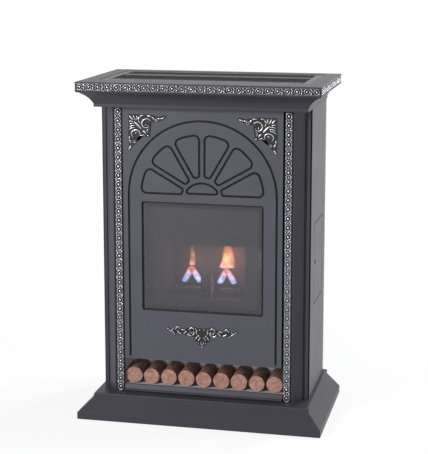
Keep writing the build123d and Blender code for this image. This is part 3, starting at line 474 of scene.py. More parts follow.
class Finishes(Enum):
    """Every finish of the heater, by what it is and how it is made."""

    # Charcoal powder coat cured on sheet steel: satin, faintly blue, with a light orange peel.
    CASING = Finish("cured_charcoal_powder_coat", "3a3941", 0.42, 0.0, 1.6, 0.02, 90.0, 0.04, 0.9, specular=0.25)
    # The same coat on the pressed cover, mixed lighter than on the casing as painted light on the front face, with
    # painted shade in near black in its grooves.
    COVER = PressedCover(
        "charcoal_coat_with_painted_light_and_groove_shade", "515159", 0.42, 0.0, 1.6, 0.02, 90.0, 0.04, 0.4, specular=0.2
    )
    # Satin black on the grille, with bands of painted highlight and painted shade.
    GRILLE = SlattedGrille(
        "satin_black_grille_coat_with_painted_highlights", "3a3940", 0.36, 0.0, 1.2, 0.02, 60.0, 0.06, 0.5, specular=0.35
    )
    # The casing's coat, mixed a little lighter, on the folded niche liner and on the panel round the hatch; on the
    # right side panel the lighter tone is painted light. The liner is painted paler still deeper in, and the panel
    # has a painted shadow line round the hatch.
    LINER = NicheLiner("niche_liner_coat_with_painted_light", "403f47", 0.42, 0.0, 1.6, 0.02, 90.0, 0.05, 0.7, specular=0.25)
    JOINTED = JointedPanel(
        "charcoal_panel_with_painted_light_and_joint_shadow", "403f47", 0.42, 0.0, 1.6, 0.02, 90.0, 0.04, 0.9, specular=0.3
    )
    # Heat paint in flat black on parts that run hot.
    HOT_BLACK = Finish("flat_black_heat_paint", "1b1b1e", 0.62, 0.0, 0.8, 0.02, 40.0, 0.1, 0.6)
    # Silver plate over a casting: black in the hollows, bright where it is rubbed.
    SILVER = AntiqueSilver("rubbed_antique_silver_plate", "bab9bf", 0.3, 1.0, 0.7, 0.03)
    # Coated ceramic glass: smoky grey, half clear over the fire behind it.
    GLASS = TintedCeramicGlass(
        "coated_ceramic_glass", "40404a", 0.05, coat=0.3, coat_roughness=0.05, specular=0.7
    )
    # Fire-side sheet steel: dull, browned by heat.
    FIRE_STEEL = Finish("heat_browned_sheet_steel", "6a6664", 0.5, 0.3, 2.0, 0.03, 35.0, 0.16, 0.6)
    # Hot-dip zinc with a broad spangle.
    ZINC = Finish("hot_dip_zinc_sheet", "8d9094", 0.42, 0.85, 6.0, 0.01, 12.0, 0.12, 0.5)
    # Rolled and drawn metals: a soft metallic gleam with faint stains.
    ALUMINISED = Finish("aluminised_duct_steel", "9a9a9a", 0.36, 0.9, 3.0, 0.01, 30.0, 0.08, 0.4)
    STAINLESS = Finish("heat_tinted_stainless", "857f78", 0.34, 0.95, 0.8, 0.01, 15.0, 0.14, 0.4)
    BRASS = Finish("turned_brass", "b08d4a", 0.3, 1.0, 0.6, 0.008, 20.0, 0.06, 0.4)
    COPPER = Finish("drawn_copper_tube", "a8683f", 0.32, 1.0, 1.2, 0.008, 25.0, 0.12)
    CASTING = Finish("die_cast_aluminium", "8b8c8e", 0.45, 0.8, 0.9, 0.03, 20.0, 0.06, 0.8)
    # Moulded, glazed and braided small parts.
    BLACK_PLASTIC = Finish("moulded_black_nylon", "151516", 0.5, 0.0, 0.5, 0.02, 30.0, 0.04, 0.6)
    RED_PLASTIC = Finish("moulded_red_plastic", "8c1414", 0.3, 0.0, 0.8, 0.0, 30.0, 0.03, 0.5)
    CERAMIC = Finish("glazed_insulator", "d8d2c2", 0.2, 0.0, 1.0, 0.0, 20.0, 0.03, 0.3)
    SILICONE = Finish("silicone_lead", "1d1c1c", 0.55, 0.0, 1.0, 0.01)
    FIBRE = Finish("braided_glass_fibre", "6e6a62", 0.95, 0.0, 1.5, 0.4, 10.0, 0.2)
    ZINC_SCREW = Finish("bright_zinc_screw", "a9abad", 0.3, 1.0, 1.0, 0.005, 10.0, 0.05)
    # Ceramic fibre painted as sawn wood.
    LOG = SawnLogEnd("painted_fibre_log", "a37a6b", 0.8, 0.0, 2.2, 0.35)
    # Gas that burns blue at the port and amber above.
    FLAME = BurningGas("burning_gas", "ffffff")


class Paintbox:
    """Keeps one material for each finish."""

    def __init__(self) -> None:
        self._made: dict[Finishes, bpy.types.Material] = {}

    def __getitem__(self, finish: Finishes) -> bpy.types.Material:
        if finish not in self._made:
            self._made[finish] = finish.value.material()
        return self._made[finish]

    def coat(self, thing: bpy.types.Object, finish: Finishes) -> None:
        """Give an object a single finish.

        Args:
            thing: Mesh object to coat.
            finish: Finish to give it.
        """
        thing.data.materials.clear()
        thing.data.materials.append(self[finish])


CAD_FINISHES: dict[Finishes, tuple[str, ...]] = {
    Finishes.CASING: (
        "base_plinth",
        "left_side_panel",
        "right_pilaster",
        "left_pilaster",
        "mantel_cove",
        "mantel_slab",
    ),
    Finishes.COVER: ("front_cover",),
    Finishes.GRILLE: ("top_grille",),
    Finishes.LINER: ("log_tray",),
    Finishes.JOINTED: ("right_side_panel", "side_access_door"),
    Finishes.HOT_BLACK: ("window_frame", "control_pan"),
    Finishes.GLASS: ("glass_pane",),
    Finishes.FIBRE: ("glass_seal",),
    Finishes.FIRE_STEEL: ("firebox_front", "combustion_chamber"),
    Finishes.ZINC: ("rear_panel", "floor_pan", "right_chassis_rail", "left_chassis_rail"),
    Finishes.ALUMINISED: ("heat_shield", "flue_duct", "flue_collar"),
    Finishes.STAINLESS: ("burner_manifold", "burner_venturi", "pilot_burner"),
    Finishes.BRASS: ("gas_injector", "gas_inlet_union", "knob_spindle"),
    Finishes.COPPER: ("thermocouple", "pilot_tube", "burner_supply_pipe", "inlet_pipe"),
    Finishes.CASTING: ("gas_valve",),
    Finishes.BLACK_PLASTIC: ("control_knob", "piezo_igniter", "door_catch"),
    Finishes.RED_PLASTIC: ("piezo_button",),
    Finishes.CERAMIC: ("ignition_electrode",),
    Finishes.SILICONE: ("igniter_lead",),
    Finishes.ZINC_SCREW: ("rear_panel_screws", "door_hinge_pins"),
}


def smooth_path(points: Sequence[Point], per_span: int = 6) -> list[Point]:
    """Catmull-Rom curve through the points.

    Args:
        points: Points that the curve passes through.
        per_span: Steps between two points.

    Returns:
        Points along the curve.
    """
    ends = [points[0], *points, points[-1]]
    path = []
    for a, b, c, d in zip(ends, ends[1:], ends[2:], ends[3:]):
        for step in range(per_span):
            t = step / per_span
            path.append(
                tuple(
                    0.5
                    * (
                        2 * q
                        + (r - p) * t
                        + (2 * p - 5 * q + 4 * r - s) * t**2
                        + (3 * q - p - 3 * r + s) * t**3
                    )
                    for p, q, r, s in zip(a, b, c, d)
                )
            )
    return path + [points[-1]]


def ring_path(centre: Point, radii: Point, steps: int = 20) -> list[Point]:
    """Closed ellipse.

    Args:
        centre: Centre of the ellipse.
        radii: Half widths along u and v.
        steps: Number of steps round it.

    Returns:
        Points round the ellipse, with the first one repeated at the end.
    """
    turns = [2 * math.pi * i / steps for i in range(steps + 1)]
    return [(centre[0] + radii[0] * math.cos(a), centre[1] + radii[1] * math.sin(a)) for a in turns]


def rectangle(u: Point, v: Point) -> list[Point]:
    """Corners of a rectangle.

    Args:
        u: Lower and upper bound along u.
        v: Lower and upper bound along v.

    Returns:
        The four corners, in order round it.
    """
    return [(u[0], v[0]), (u[1], v[0]), (u[1], v[1]), (u[0], v[1])]


@dataclass(frozen=True)
class Ground:
    """A flat face that carries relief: u and v run along it, h stands out of it, in millimetres."""

    origin: Triple
    u: Triple = (1, 0, 0)
    v: Triple = (0, 0, 1)
    h: Triple = (0, -1, 0)

    def at(self, u: float, v: float, h: float) -> Vector:
        """Place a point of the relief.

        Args:
            u: Distance along the face.
            v: Distance along the face, across u.
            h: Height above the face.

        Returns:
            The point in the frame, in metres.
        """
        spot = Vector(self.origin) + u * Vector(self.u) + v * Vector(self.v) + h * Vector(self.h)
        return spot * MM


class Casting:
    """Relief casting made of raised strokes, beads and a black backing plate."""

    # Rounded section from rim to crest: share of the half width, share of the height, brightness.
    SECTION = ((1.0, 0.0, 0.25), (0.72, 0.62, 0.7), (0.35, 0.93, 1.0), (0.0, 1.0, 1.0))
    BEAD_STEPS = 14

    def __init__(self, name: str, ground: Ground) -> None:
        self.name = name
        self.ground = ground
        self.mesh = bmesh.new()
        self.crest = self.mesh.verts.layers.float.new("crest")

    def _vert(self, u: float, v: float, h: float, crest: float) -> bmesh.types.BMVert:
        """Add a point that stores how bright the silver is on it."""
        vert = self.mesh.verts.new(self.ground.at(u, v, h))
        vert[self.crest] = crest
        return vert

    def stroke(
        self,
        path: Sequence[Point],
        width: Triple,
        height: float,
        base: float = 1.2,
        rim: float = 1.3,
        lobes: int = 0,
    ) -> None:
        """Raise one rounded stroke with a black rim along a path.

        Args:
            path: Points along the stroke.
            width: Half width at the start, the middle and the end.
            height: Height of the crest above the backing.
            base: Height of the black rim.
            rim: Width of the black rim at each side.
            lobes: Number of leaf lobes cut across the stroke.
        """
        rows = []
        last = len(path) - 1
        for i, (u, v) in enumerate(path):
            before, after = path[max(i - 1, 0)], path[min(i + 1, last)]
            run = math.hypot(after[0] - before[0], after[1] - before[1]) or 1.0
            nu, nv = -(after[1] - before[1]) / run, (after[0] - before[0]) / run
            t = i / last
            near = (1 - 2 * t) if t < 0.5 else (2 * t - 1)
            side = width[0] if t < 0.5 else width[2]
            half = width[1] + (side - width[1]) * near**1.6
            # Between two lobes the stroke is narrower, lower and darker.
            notch = abs(math.sin(math.pi * lobes * t)) ** 0.6 if lobes else 1.0
            half *= 0.72 + 0.28 * notch
            top = height * (0.65 + 0.35 * notch) * (0.35 + 0.65 * min(1.0, half / max(width)))
            profile = [(half + rim, 0.0, 0.0), (half + rim, base, 0.0)]
            profile += [(half * o, base + top * h, c * (0.55 + 0.45 * notch)) for o, h, c in self.SECTION]
            full = [(-o, h, c) for o, h, c in profile] + profile[-2::-1]
            rows.append([self._vert(u + nu * o, v + nv * o, h, c) for o, h, c in full])
        for low, high in zip(rows, rows[1:]):
            for a, b, c, d in zip(low, low[1:], high[1:], high):
                self.mesh.faces.new((a, b, c, d))
        for row in (rows[0], rows[-1]):
            self.mesh.faces.new(row)

    def bead(
        self,
        centre: Point,
        radii: Point,
        height: float,
        base: float = 1.2,
        rim: float = 1.3,
        turn: float = 0.0,
    ) -> None:
        """Raise one domed bead with a black rim.

        Args:
            centre: Centre of the bead.
            radii: Half widths of the bead.
            height: Height of the dome above the backing.
            base: Height of the black rim.
            rim: Width of the black rim.
            turn: Turn of the bead's long axis, in degrees.
        """
        lean = math.radians(turn)
        steps = self.BEAD_STEPS
        levels = [(None, 0.0, 0.0), (None, base, 0.0)]
        levels += [(o, base + height * h, c) for o, h, c in self.SECTION[:-1]]
        rings = []
        for o, h, c in levels:
            ring = []
            for i in range(steps):
                a = 2 * math.pi * i / steps
                ru = (radii[0] + rim) if o is None else radii[0] * o
                rv = (radii[1] + rim) if o is None else radii[1] * o
                x, y = ru * math.cos(a), rv * math.sin(a)
                u = centre[0] + x * math.cos(lean) - y * math.sin(lean)
                v = centre[1] + x * math.sin(lean) + y * math.cos(lean)
                ring.append(self._vert(u, v, h, c))
            rings.append(ring)
        for low, high in zip(rings, rings[1:]):
            for i in range(steps):
                j = (i + 1) % steps
                self.mesh.faces.new((low[i], low[j], high[j], high[i]))
        top = self._vert(*centre, base + height, 1.0)
        for i in range(steps):
            self.mesh.faces.new((rings[-1][i], rings[-1][(i + 1) % steps], top))

    def plate(self, outline: Sequence[Point], height: float) -> None:
        """Add the black backing plate.

        Args:
            outline: Corners of the plate.
            height: Thickness of the plate.
        """
        low = [self._vert(u, v, 0.0, 0.0) for u, v in outline]
        high = [self._vert(u, v, height, 0.0) for u, v in outline]
        self.mesh.faces.new(high)
        for i in range(len(outline)):
            j = (i + 1) % len(outline)
            self.mesh.faces.new((low[i], low[j], high[j], high[i]))

    def finish(self, paint: Paintbox, *nodes: str, body: str = "casing") -> bpy.types.Object:
        """Turn the casting into an object that stands for CAD nodes.

        Args:
            paint: Materials of the scene.
            *nodes: CAD nodes that the casting stands for.
            body: CAD body that it rides on.

        Returns:
            The new object.
        """
        bmesh.ops.triangulate(self.mesh, faces=[f for f in self.mesh.faces if len(f.verts) > 4])
        bmesh.ops.recalc_face_normals(self.mesh, faces=self.mesh.faces)
        made = mesh_object(self.name, self.mesh, smooth_angle=50)
        paint.coat(made, Finishes.SILVER)
        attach(made, body)
        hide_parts(*nodes)
        return made


def mesh_object(name: str, mesh: bmesh.types.BMesh, smooth_angle: float = 0.0) -> bpy.types.Object:
    """Make an object from a bmesh and free the bmesh.

    Args:
        name: Name of the object.
        mesh: Mesh to take over.
        smooth_angle: Edges below this angle in degrees are shaded smooth; none at zero.

    Returns:
        The new object, linked to the scene.
    """
    data = bpy.data.meshes.new(name)
    if smooth_angle:
        limit = math.radians(smooth_angle)
        for face in mesh.faces:
            face.smooth = True
        for edge in mesh.edges:
            edge.smooth = len(edge.link_faces) == 2 and edge.calc_face_angle(0.0) < limit
    mesh.to_mesh(data)
    mesh.free()
    made = bpy.data.objects.new(name, data)
    bpy.context.scene.collection.objects.link(made)
    return made


@dataclass(frozen=True)
class Stroke:
    """One stroke of an ornament: control points, half widths, crest height and lobes."""

    points: tuple[Point, ...]
    width: Triple
    height: float = 2.6
    lobes: int = 0


@dataclass(frozen=True)
class CornerScroll:
    """Acanthus corner ornament on the front cover, drawn for the upper left corner."""

    face_mm: float = -136.0
    thickness_mm: float = 1.3
    boldness: float = 1.3
    rim_mm: float = 0.6
    strokes: tuple[Stroke, ...] = (
        Stroke(((-191.5, 808.5), (-187.0, 803.0), (-182.5, 798.0)), (1.2, 2.4, 1.4), 3.0),
        Stroke(((-181.5, 809.5), (-179.5, 804.0), (-175.0, 797.0)), (0.8, 1.5, 0.8), 2.2),
        Stroke(((-172.5, 810.0), (-172.0, 804.5), (-172.5, 798.0)), (0.8, 1.5, 0.8), 2.2),
        Stroke(((-192.5, 795.0), (-187.0, 794.5), (-181.0, 793.5)), (0.7, 1.4, 0.7), 2.0),
        Stroke(((-192.5, 787.0), (-186.5, 789.0), (-179.5, 788.5)), (0.8, 1.6, 0.8), 2.2),
        Stroke(((-192.5, 779.5), (-186.0, 783.0), (-177.0, 783.0)), (0.8, 1.6, 0.8), 2.2),
        Stroke(((-192.5, 772.0), (-187.5, 777.0), (-178.0, 778.0)), (0.8, 1.5, 0.8), 2.0),
        Stroke(
            ((-153.5, 810.2), (-161.5, 809.0), (-167.5, 802.0), (-167.0, 795.0), (-163.0, 789.5)),
            (0.9, 2.1, 0.8), 2.8, 3
        ),
        Stroke(((-178.0, 792.5), (-169.0, 784.5), (-160.5, 775.5)), (1.4, 2.8, 1.6), 3.4),
        Stroke(
            ((-135.9, 796.0), (-139.0, 800.2), (-146.0, 802.0), (-153.5, 799.5), (-158.3, 792.5),
             (-157.5, 784.5), (-151.5, 779.0), (-143.5, 779.5), (-140.5, 784.0)), (1.0, 2.1, 0.8), 3.6
        ),
        Stroke(((-147.5, 784.2), (-149.0, 786.0), (-148.2, 788.0)), (1.0, 1.4, 0.8), 2.6),
        Stroke(((-146.5, 809.5), (-136.5, 809.0), (-129.0, 805.0), (-124.0, 797.5)), (0.8, 2.3, 1.0), 3.2, 2),
        Stroke(((-118.0, 803.2), (-112.5, 803.0), (-105.5, 803.8), (-97.0, 808.0)), (1.2, 2.4, 0.7), 3.0, 2),
        Stroke(
            ((-165.5, 758.8), (-163.8, 764.0), (-167.5, 770.3), (-175.0, 772.5), (-183.5, 769.0),
             (-187.2, 762.0), (-183.2, 753.2)), (1.0, 2.1, 0.9), 3.6
        ),
        Stroke(((-177.5, 762.0), (-174.5, 765.0), (-171.0, 764.0)), (0.7, 1.3, 0.7), 2.2),
        Stroke(((-193.0, 756.0), (-192.5, 747.0), (-187.5, 736.5)), (0.8, 2.0, 1.0), 2.8, 2),
        Stroke(((-189.8, 729.5), (-192.0, 724.5), (-195.8, 719.5)), (1.4, 2.1, 0.7), 3.0),
        Stroke(((-156.5, 770.0), (-152.5, 768.8), (-148.5, 763.0)), (1.4, 2.6, 1.4), 3.6),
        Stroke(((-141.5, 776.0), (-145.5, 771.0), (-142.5, 765.5)), (0.6, 1.1, 0.6), 1.8),
        Stroke(((-163.0, 757.5), (-157.5, 759.5), (-151.0, 758.0)), (0.6, 1.1, 0.6), 1.8),
    )
    rings: tuple[tuple[Point, float], ...] = (((-119.8, 798.2), 3.2), ((-180.2, 741.2), 3.2))
    tip: Point = (-142.3, 758.0)
    outline: tuple[Point, ...] = (
        (-195.0, 812.5), (-150.0, 812.8), (-133.0, 812.0), (-115.0, 807.5), (-100.0, 811.5), (-94.0, 810.0),
        (-97.0, 804.5), (-106.0, 799.5), (-114.0, 795.0), (-122.0, 793.2), (-134.5, 793.0), (-137.0, 786.0),
        (-137.0, 770.0), (-138.5, 756.0), (-146.0, 754.5), (-156.0, 755.5), (-166.5, 755.5), (-172.0, 750.0),
        (-173.5, 741.0), (-179.0, 735.5), (-186.0, 727.5), (-196.0, 716.5), (-198.0, 719.0), (-194.0, 731.0),
        (-196.0, 745.0), (-196.5, 765.0),
    )

    def build(self, paint: Paintbox, side: str, across: int) -> bpy.types.Object:
        """Model the ornament for one corner.

        Args:
            paint: Materials of the scene.
            side: Name of the side, left or right.
            across: One for the left corner, minus one for its mirror image.

        Returns:
            The casting.
        """
        cast = Casting(f"{side}_scroll_casting", Ground((0, self.face_mm, 0), u=(across, 0, 0)))
        cast.plate(self.outline, self.thickness_mm)
        for stroke in self.strokes:
            width = tuple(self.boldness * half for half in stroke.width)
            cast.stroke(smooth_path(stroke.points), width, stroke.height, lobes=stroke.lobes, rim=self.rim_mm)
        for centre, radius in self.rings:
            cast.stroke(ring_path(centre, (radius, radius), 14), (1.1, 1.1, 1.1), 2.4, rim=0.8)
        cast.bead(self.tip, (3.4, 3.0), 3.4)
        return cast.finish(paint, f"{side}_corner_scroll")


@dataclass(frozen=True)
class Garland:
    """Leaf garland below the window: one half is drawn and the other mirrors it."""

    face_mm: float = -136.0
    boldness: float = 1.25
    rim_mm: float = 0.7
    base_mm: float = 1.0
    plate_mm: float = 0.9
    bead_mm: float = 3.0
    strokes: tuple[Stroke, ...] = (
        Stroke(((90.0, 242.0), (84.0, 239.5), (78.0, 245.5)), (0.9, 1.4, 0.9), 2.2),
        Stroke(((84.0, 239.5), (79.0, 236.0), (75.0, 232.0)), (0.9, 1.3, 0.9), 2.2),
        Stroke(((72.5, 243.0), (69.5, 248.5), (65.5, 252.0), (60.0, 245.5)), (1.2, 2.3, 1.4), 3.0, 2),
        Stroke(((66.5, 239.5), (62.0, 235.5), (56.0, 232.8)), (0.9, 2.0, 1.2), 2.6),
        Stroke(((57.0, 244.8), (51.0, 243.8), (45.5, 244.6)), (0.8, 1.5, 0.8), 2.2),
        Stroke(((50.5, 231.5), (46.5, 236.5), (41.5, 241.0)), (0.9, 1.7, 0.9), 2.4),
        Stroke(((35.5, 245.0), (32.0, 249.0), (26.5, 251.2), (21.5, 247.0)), (1.0, 2.1, 1.1), 3.0),
        Stroke(
            ((39.0, 235.5), (34.0, 230.5), (27.5, 229.5), (21.5, 236.5), (24.5, 242.0)),
            (1.0, 2.4, 1.0), 3.2, 2
        ),
        Stroke(((32.5, 240.5), (30.0, 236.5), (26.0, 238.0)), (0.7, 1.2, 0.7), 2.0),
        Stroke(((13.5, 246.5), (15.5, 239.5), (13.0, 233.5)), (0.8, 1.6, 0.8), 2.4),
        Stroke(((7.5, 231.0), (13.0, 227.5), (18.5, 219.0)), (0.9, 2.4, 1.2), 2.8, 2),
        Stroke(((4.5, 227.5), (7.0, 221.5), (10.5, 217.0)), (0.8, 1.7, 0.9), 2.4, 2),
        Stroke(((4.0, 214.0), (2.5, 207.5), (0.6, 203.0)), (0.6, 1.0, 0.6), 1.6),
    )
    beads: tuple[tuple[Point, Point, float], ...] = (
        ((92.0, 245.2), (2.8, 3.6), 0.0),
        ((74.5, 230.6), (2.6, 2.6), 0.0),
        ((16.8, 248.6), (2.0, 2.0), 0.0),
        ((5.9, 246.6), (2.4, 2.8), 0.0),
        ((9.9, 210.7), (1.9, 3.2), -30.0),
    )
    middle_beads: tuple[tuple[Point, Point], ...] = (((0.0, 198.9), (2.2, 3.9)),)
    outline: tuple[Point, ...] = (
        (0.0, 250.0), (9.0, 250.5), (18.0, 252.0), (27.0, 253.5), (36.0, 249.5), (45.0, 246.5), (58.0, 247.0),
        (65.5, 254.5), (75.0, 247.0), (86.0, 243.5), (87.0, 240.0), (78.0, 233.0), (70.0, 235.0), (58.0, 230.0),
        (50.0, 229.0), (40.0, 233.0), (30.0, 227.0), (22.0, 227.5), (20.5, 217.0), (13.5, 212.5), (10.0, 206.0),
        (4.0, 203.0),
    )

    def build(self, paint: Paintbox) -> bpy.types.Object:
        """Model both halves of the garland.

        Args:
            paint: Materials of the scene.

        Returns:
            The casting.
        """
        cast = Casting("garland_casting", Ground((0, self.face_mm, 0)))
        cast.plate([*self.outline, *[(-u, v) for u, v in self.outline[:0:-1]]], self.plate_mm)
        for side in (1, -1):
            for stroke in self.strokes:
                points = [(side * u, v) for u, v in stroke.points]
                width = tuple(self.boldness * half for half in stroke.width)
                cast.stroke(
                    smooth_path(points, 5), width, stroke.height, self.base_mm, self.rim_mm, stroke.lobes
                )
            for (u, v), radii, turn in self.beads:
                cast.bead((side * u, v), radii, self.bead_mm, base=self.base_mm, turn=side * turn)
        for centre, radii in self.middle_beads:
            cast.bead(centre, radii, self.bead_mm, base=self.base_mm)
        return cast.finish(paint, "garland_ornament")


@dataclass(frozen=True)
class RopeColumn:
    """Rope trim on a pilaster: beads in rings, with a pair of lobes between two rings."""

    centre_mm: float = 225.5
    face_mm: float = -128.0
    foot_mm: float = 64.0
    head_mm: float = 832.0
    half_mm: float = 9.75
    pitch_mm: float = 24.0
    plate_mm: float = 3.0
    base_mm: float = 3.4
    bead_mm: Point = (4.1, 4.8)
    bead_height_mm: float = 3.4
    ring_mm: Point = (7.4, 8.4)
    ring_half_mm: float = 1.35
    ring_height_mm: float = 2.4
    lobe_mm: Triple = (0.9, 2.3, 0.9)
    lobe_reach_mm: Point = (8.6, 5.6)
    lobe_rise_mm: float = 3.4
    lobe_height_mm: float = 3.0
    small_bead_mm: Point = (2.2, 2.0)
    small_bead_height_mm: float = 2.2

    def build(self, paint: Paintbox, side: str, across: int) -> bpy.types.Object:
        """Model one column.

        Args:
            paint: Materials of the scene.
            side: Name of the side, left or right.
            across: Minus one for the left column, one for the right one.

        Returns:
            The casting.
        """
        cast = Casting(f"{side}_rope_casting", Ground((across * self.centre_mm, self.face_mm, 0)))
        edge = self.half_mm
        cast.plate(rectangle((-edge, edge), (self.foot_mm, self.head_mm)), self.plate_mm)
        count = int((self.head_mm - self.foot_mm) // self.pitch_mm)
        for i in range(count):
            v = self.foot_mm + edge + i * self.pitch_mm
            cast.bead((0, v), self.bead_mm, self.bead_height_mm, base=self.base_mm, rim=0.8)
            ring = ring_path((0, v), self.ring_mm, 18)
            cast.stroke(ring, (self.ring_half_mm,) * 3, self.ring_height_mm, base=self.base_mm, rim=0.4)
            if i + 1 == count:
                continue
            between = v + self.pitch_mm / 2
            outer, inner = self.lobe_reach_mm
            rise = self.lobe_rise_mm
            for lobe in (-1, 1):
                points = [(lobe * outer, between - rise), (lobe * inner, between), (lobe * outer, between + rise)]
                path = smooth_path(points, 4)
                cast.stroke(path, self.lobe_mm, self.lobe_height_mm, base=self.base_mm, rim=0.5)
            cast.bead((0, between), self.small_bead_mm, self.small_bead_height_mm, base=self.base_mm, rim=0.6)
        return cast.finish(paint, f"{side}_column_trim")


@dataclass(frozen=True)
class MantelBand:
    """Silver band round the slab: beads in dark rings with slanting leaves between them."""

    half_width_mm: float = 318.0
    front_mm: float = -204.0
    back_mm: float = 169.5
    depth_mm: float = 4.0
    low_mm: float = 878.5
    high_mm: float = 896.5
    pitch_mm: float = 24.0
    plate_mm: float = 2.0
    bead_mm: Point = (3.1, 3.4)
    leaf_mm: Triple = (0.8, 1.7, 0.7)
    relief_mm: float = 1.5
    ring_mm: Point = (6.6, 6.6)
    ring_half_mm: float = 0.85
    ring_relief_mm: float = 1.2
    edge_half_mm: float = 0.6
    edge_inset_mm: float = 0.9
    edge_relief_mm: float = 0.8

    def _run(self, cast: Casting, start: float, end: float) -> None:
        """Fill one straight run with beads, rings, leaves and two edge lines."""
        count = round((end - start) / self.pitch_mm)
        pitch = (end - start) / count
        middle = (self.low_mm + self.high_mm) / 2
        for i in range(count):
            u = start + (i + 0.5) * pitch
            cast.bead((u, middle), self.bead_mm, self.relief_mm, base=self.plate_mm, rim=0.8)
            ring = ring_path((u, middle), self.ring_mm, 18)
            cast.stroke(ring, (self.ring_half_mm,) * 3, self.ring_relief_mm, base=self.plate_mm, rim=0.6)
            if i + 1 == count:
                continue
            centre = u + pitch / 2
            for lift in (-1, 1):
                points = [
                    (centre - 2.9, middle + lift * 7.2),
                    (centre + 0.4 * lift, middle + lift * 3.4),
                    (centre + 2.6 * lift, middle + lift * 0.6),
                ]
                path = smooth_path(points, 4)
                cast.stroke(path, self.leaf_mm, self.relief_mm, base=self.plate_mm, rim=0.5)
        for v in (self.low_mm + self.edge_inset_mm, self.high_mm - self.edge_inset_mm):
            line = [(start, v), (end, v)]
            cast.stroke(line, (self.edge_half_mm,) * 3, self.edge_relief_mm, base=self.plate_mm, rim=0.2)

    def build(self, paint: Paintbox) -> list[bpy.types.Object]:
        """Model the front band and both side bands.

        Args:
            paint: Materials of the scene.

        Returns:
            The castings.
        """
        seat = self.front_mm + self.depth_mm
        front = Casting("front_band_casting", Ground((0, seat, 0)))
        wide = self.half_width_mm - 0.4
        tall = (self.low_mm, self.high_mm)
        front.plate(rectangle((-wide, wide), tall), self.plate_mm)
        self._run(front, -wide, wide)
        made = [front.finish(paint, "mantel_front_trim")]
        sides = Casting("side_band_castings", Ground((0, 0, 0)))
        for across in (1, -1):
            floor = across * (self.half_width_mm - self.depth_mm)
            sides.ground = Ground((floor, 0, 0), u=(0, 1, 0), h=(across, 0, 0))
            sides.plate(rectangle((seat, self.back_mm), tall), self.plate_mm)
            self._run(sides, self.front_mm + 1.0, self.back_mm - 0.5)
        made.append(sides.finish(paint, "mantel_side_trims"))
        return made


@dataclass(frozen=True)
class LogRow:
    """Row of sawn logs in the niche, each a little different in bark, tilt of cut and girth."""

    count: int = 9
    bark_mm: float = 1.5
    around: int = 40
    seed: int = 7
    fractions: tuple[float, ...] = (0.25, 0.5, 0.7, 0.85, 0.93, 0.975)
    depths_m: tuple[float, ...] = (0.0008, 0.003, 0.008, 0.02, 0.04, 0.06)
    bark_reach: float = 1.03
    bark_scale: float = 2.2
    bark_stretch: float = 25
    cut_m: float = 0.004
    cut_set_back_m: float = 0.0016
    cut_rough_m: float = 0.0004
    cut_scale: float = 9

    def _log(self, index: int, paint: Paintbox) -> bpy.types.Object:
        """Model one log inside the box of its CAD node."""
        low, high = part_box(f"log_{index}")
        centre = (low + high) / 2
        radius = (high.x - low.x) / 2
        mesh = bmesh.new()
        reach = mesh.verts.layers.float.new("reach")
        chance = random.Random(self.seed + index)
        shift = Vector((chance.uniform(0, 50), chance.uniform(0, 50), chance.uniform(0, 50)))
        slant = Vector((chance.uniform(-0.035, 0.035), 0, chance.uniform(-0.03, 0.01)))
        depths = (*self.depths_m, high.y - low.y)

        def vert(fraction: float, angle: float, depth: float, store: float) -> bmesh.types.BMVert:
            spot = Vector((math.cos(angle), depth * self.bark_stretch, math.sin(angle)))
            rough = noise.fractal(spot * self.bark_scale + shift, 0.8, 2.2, 4)
            inward = self.bark_mm * MM * (0.55 - 0.45 * max(-1, min(1, rough))) * (fraction**6)
            r = radius * fraction - inward
            x, z = r * math.cos(angle), r * math.sin(angle)
            y = low.y + depth
            if depth < self.cut_m:
                grain = self.cut_rough_m * noise.noise(spot * self.cut_scale + shift)
                y += self.cut_set_back_m + slant.x * x + slant.z * z + grain
            made = mesh.verts.new((centre.x + x, y, low.z + radius + z))
            made[reach] = store
            return made

        angles = [2 * math.pi * i / self.around for i in range(self.around)]
        heart = vert(0.0, 0.0, 0.0, 0.0)
        rings = [[vert(f, a, 0.0, f) for a in angles] for f in self.fractions]
        rings += [[vert(1.0, a, d, self.bark_reach) for a in angles] for d in depths]
        for i in range(self.around):
            j = (i + 1) % self.around
            mesh.faces.new((heart, rings[0][j], rings[0][i]))
            for near, far in zip(rings, rings[1:]):
                mesh.faces.new((near[i], near[j], far[j], far[i]))
        mesh.faces.new(rings[-1])
        bmesh.ops.recalc_face_normals(mesh, faces=mesh.faces)
        made = mesh_object(f"sawn_log_{index}", mesh, smooth_angle=50)
        paint.coat(made, Finishes.LOG)
        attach(made, "casing")
        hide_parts(f"log_{index}")
        return made

    def build(self, paint: Paintbox) -> list[bpy.types.Object]:
        """Model all logs.

        Args:
            paint: Materials of the scene.

        Returns:
            The logs, from left to right.
        """
        return [self._log(index, paint) for index in range(1, self.count + 1)]


@dataclass(frozen=True)
class FlamePair:
    """Two inclined jets that meet and rise as one flame."""

    outer: float
    inner: float
    meet: tuple[float, float]
    tip: tuple[float, float]
    girth_mm: float


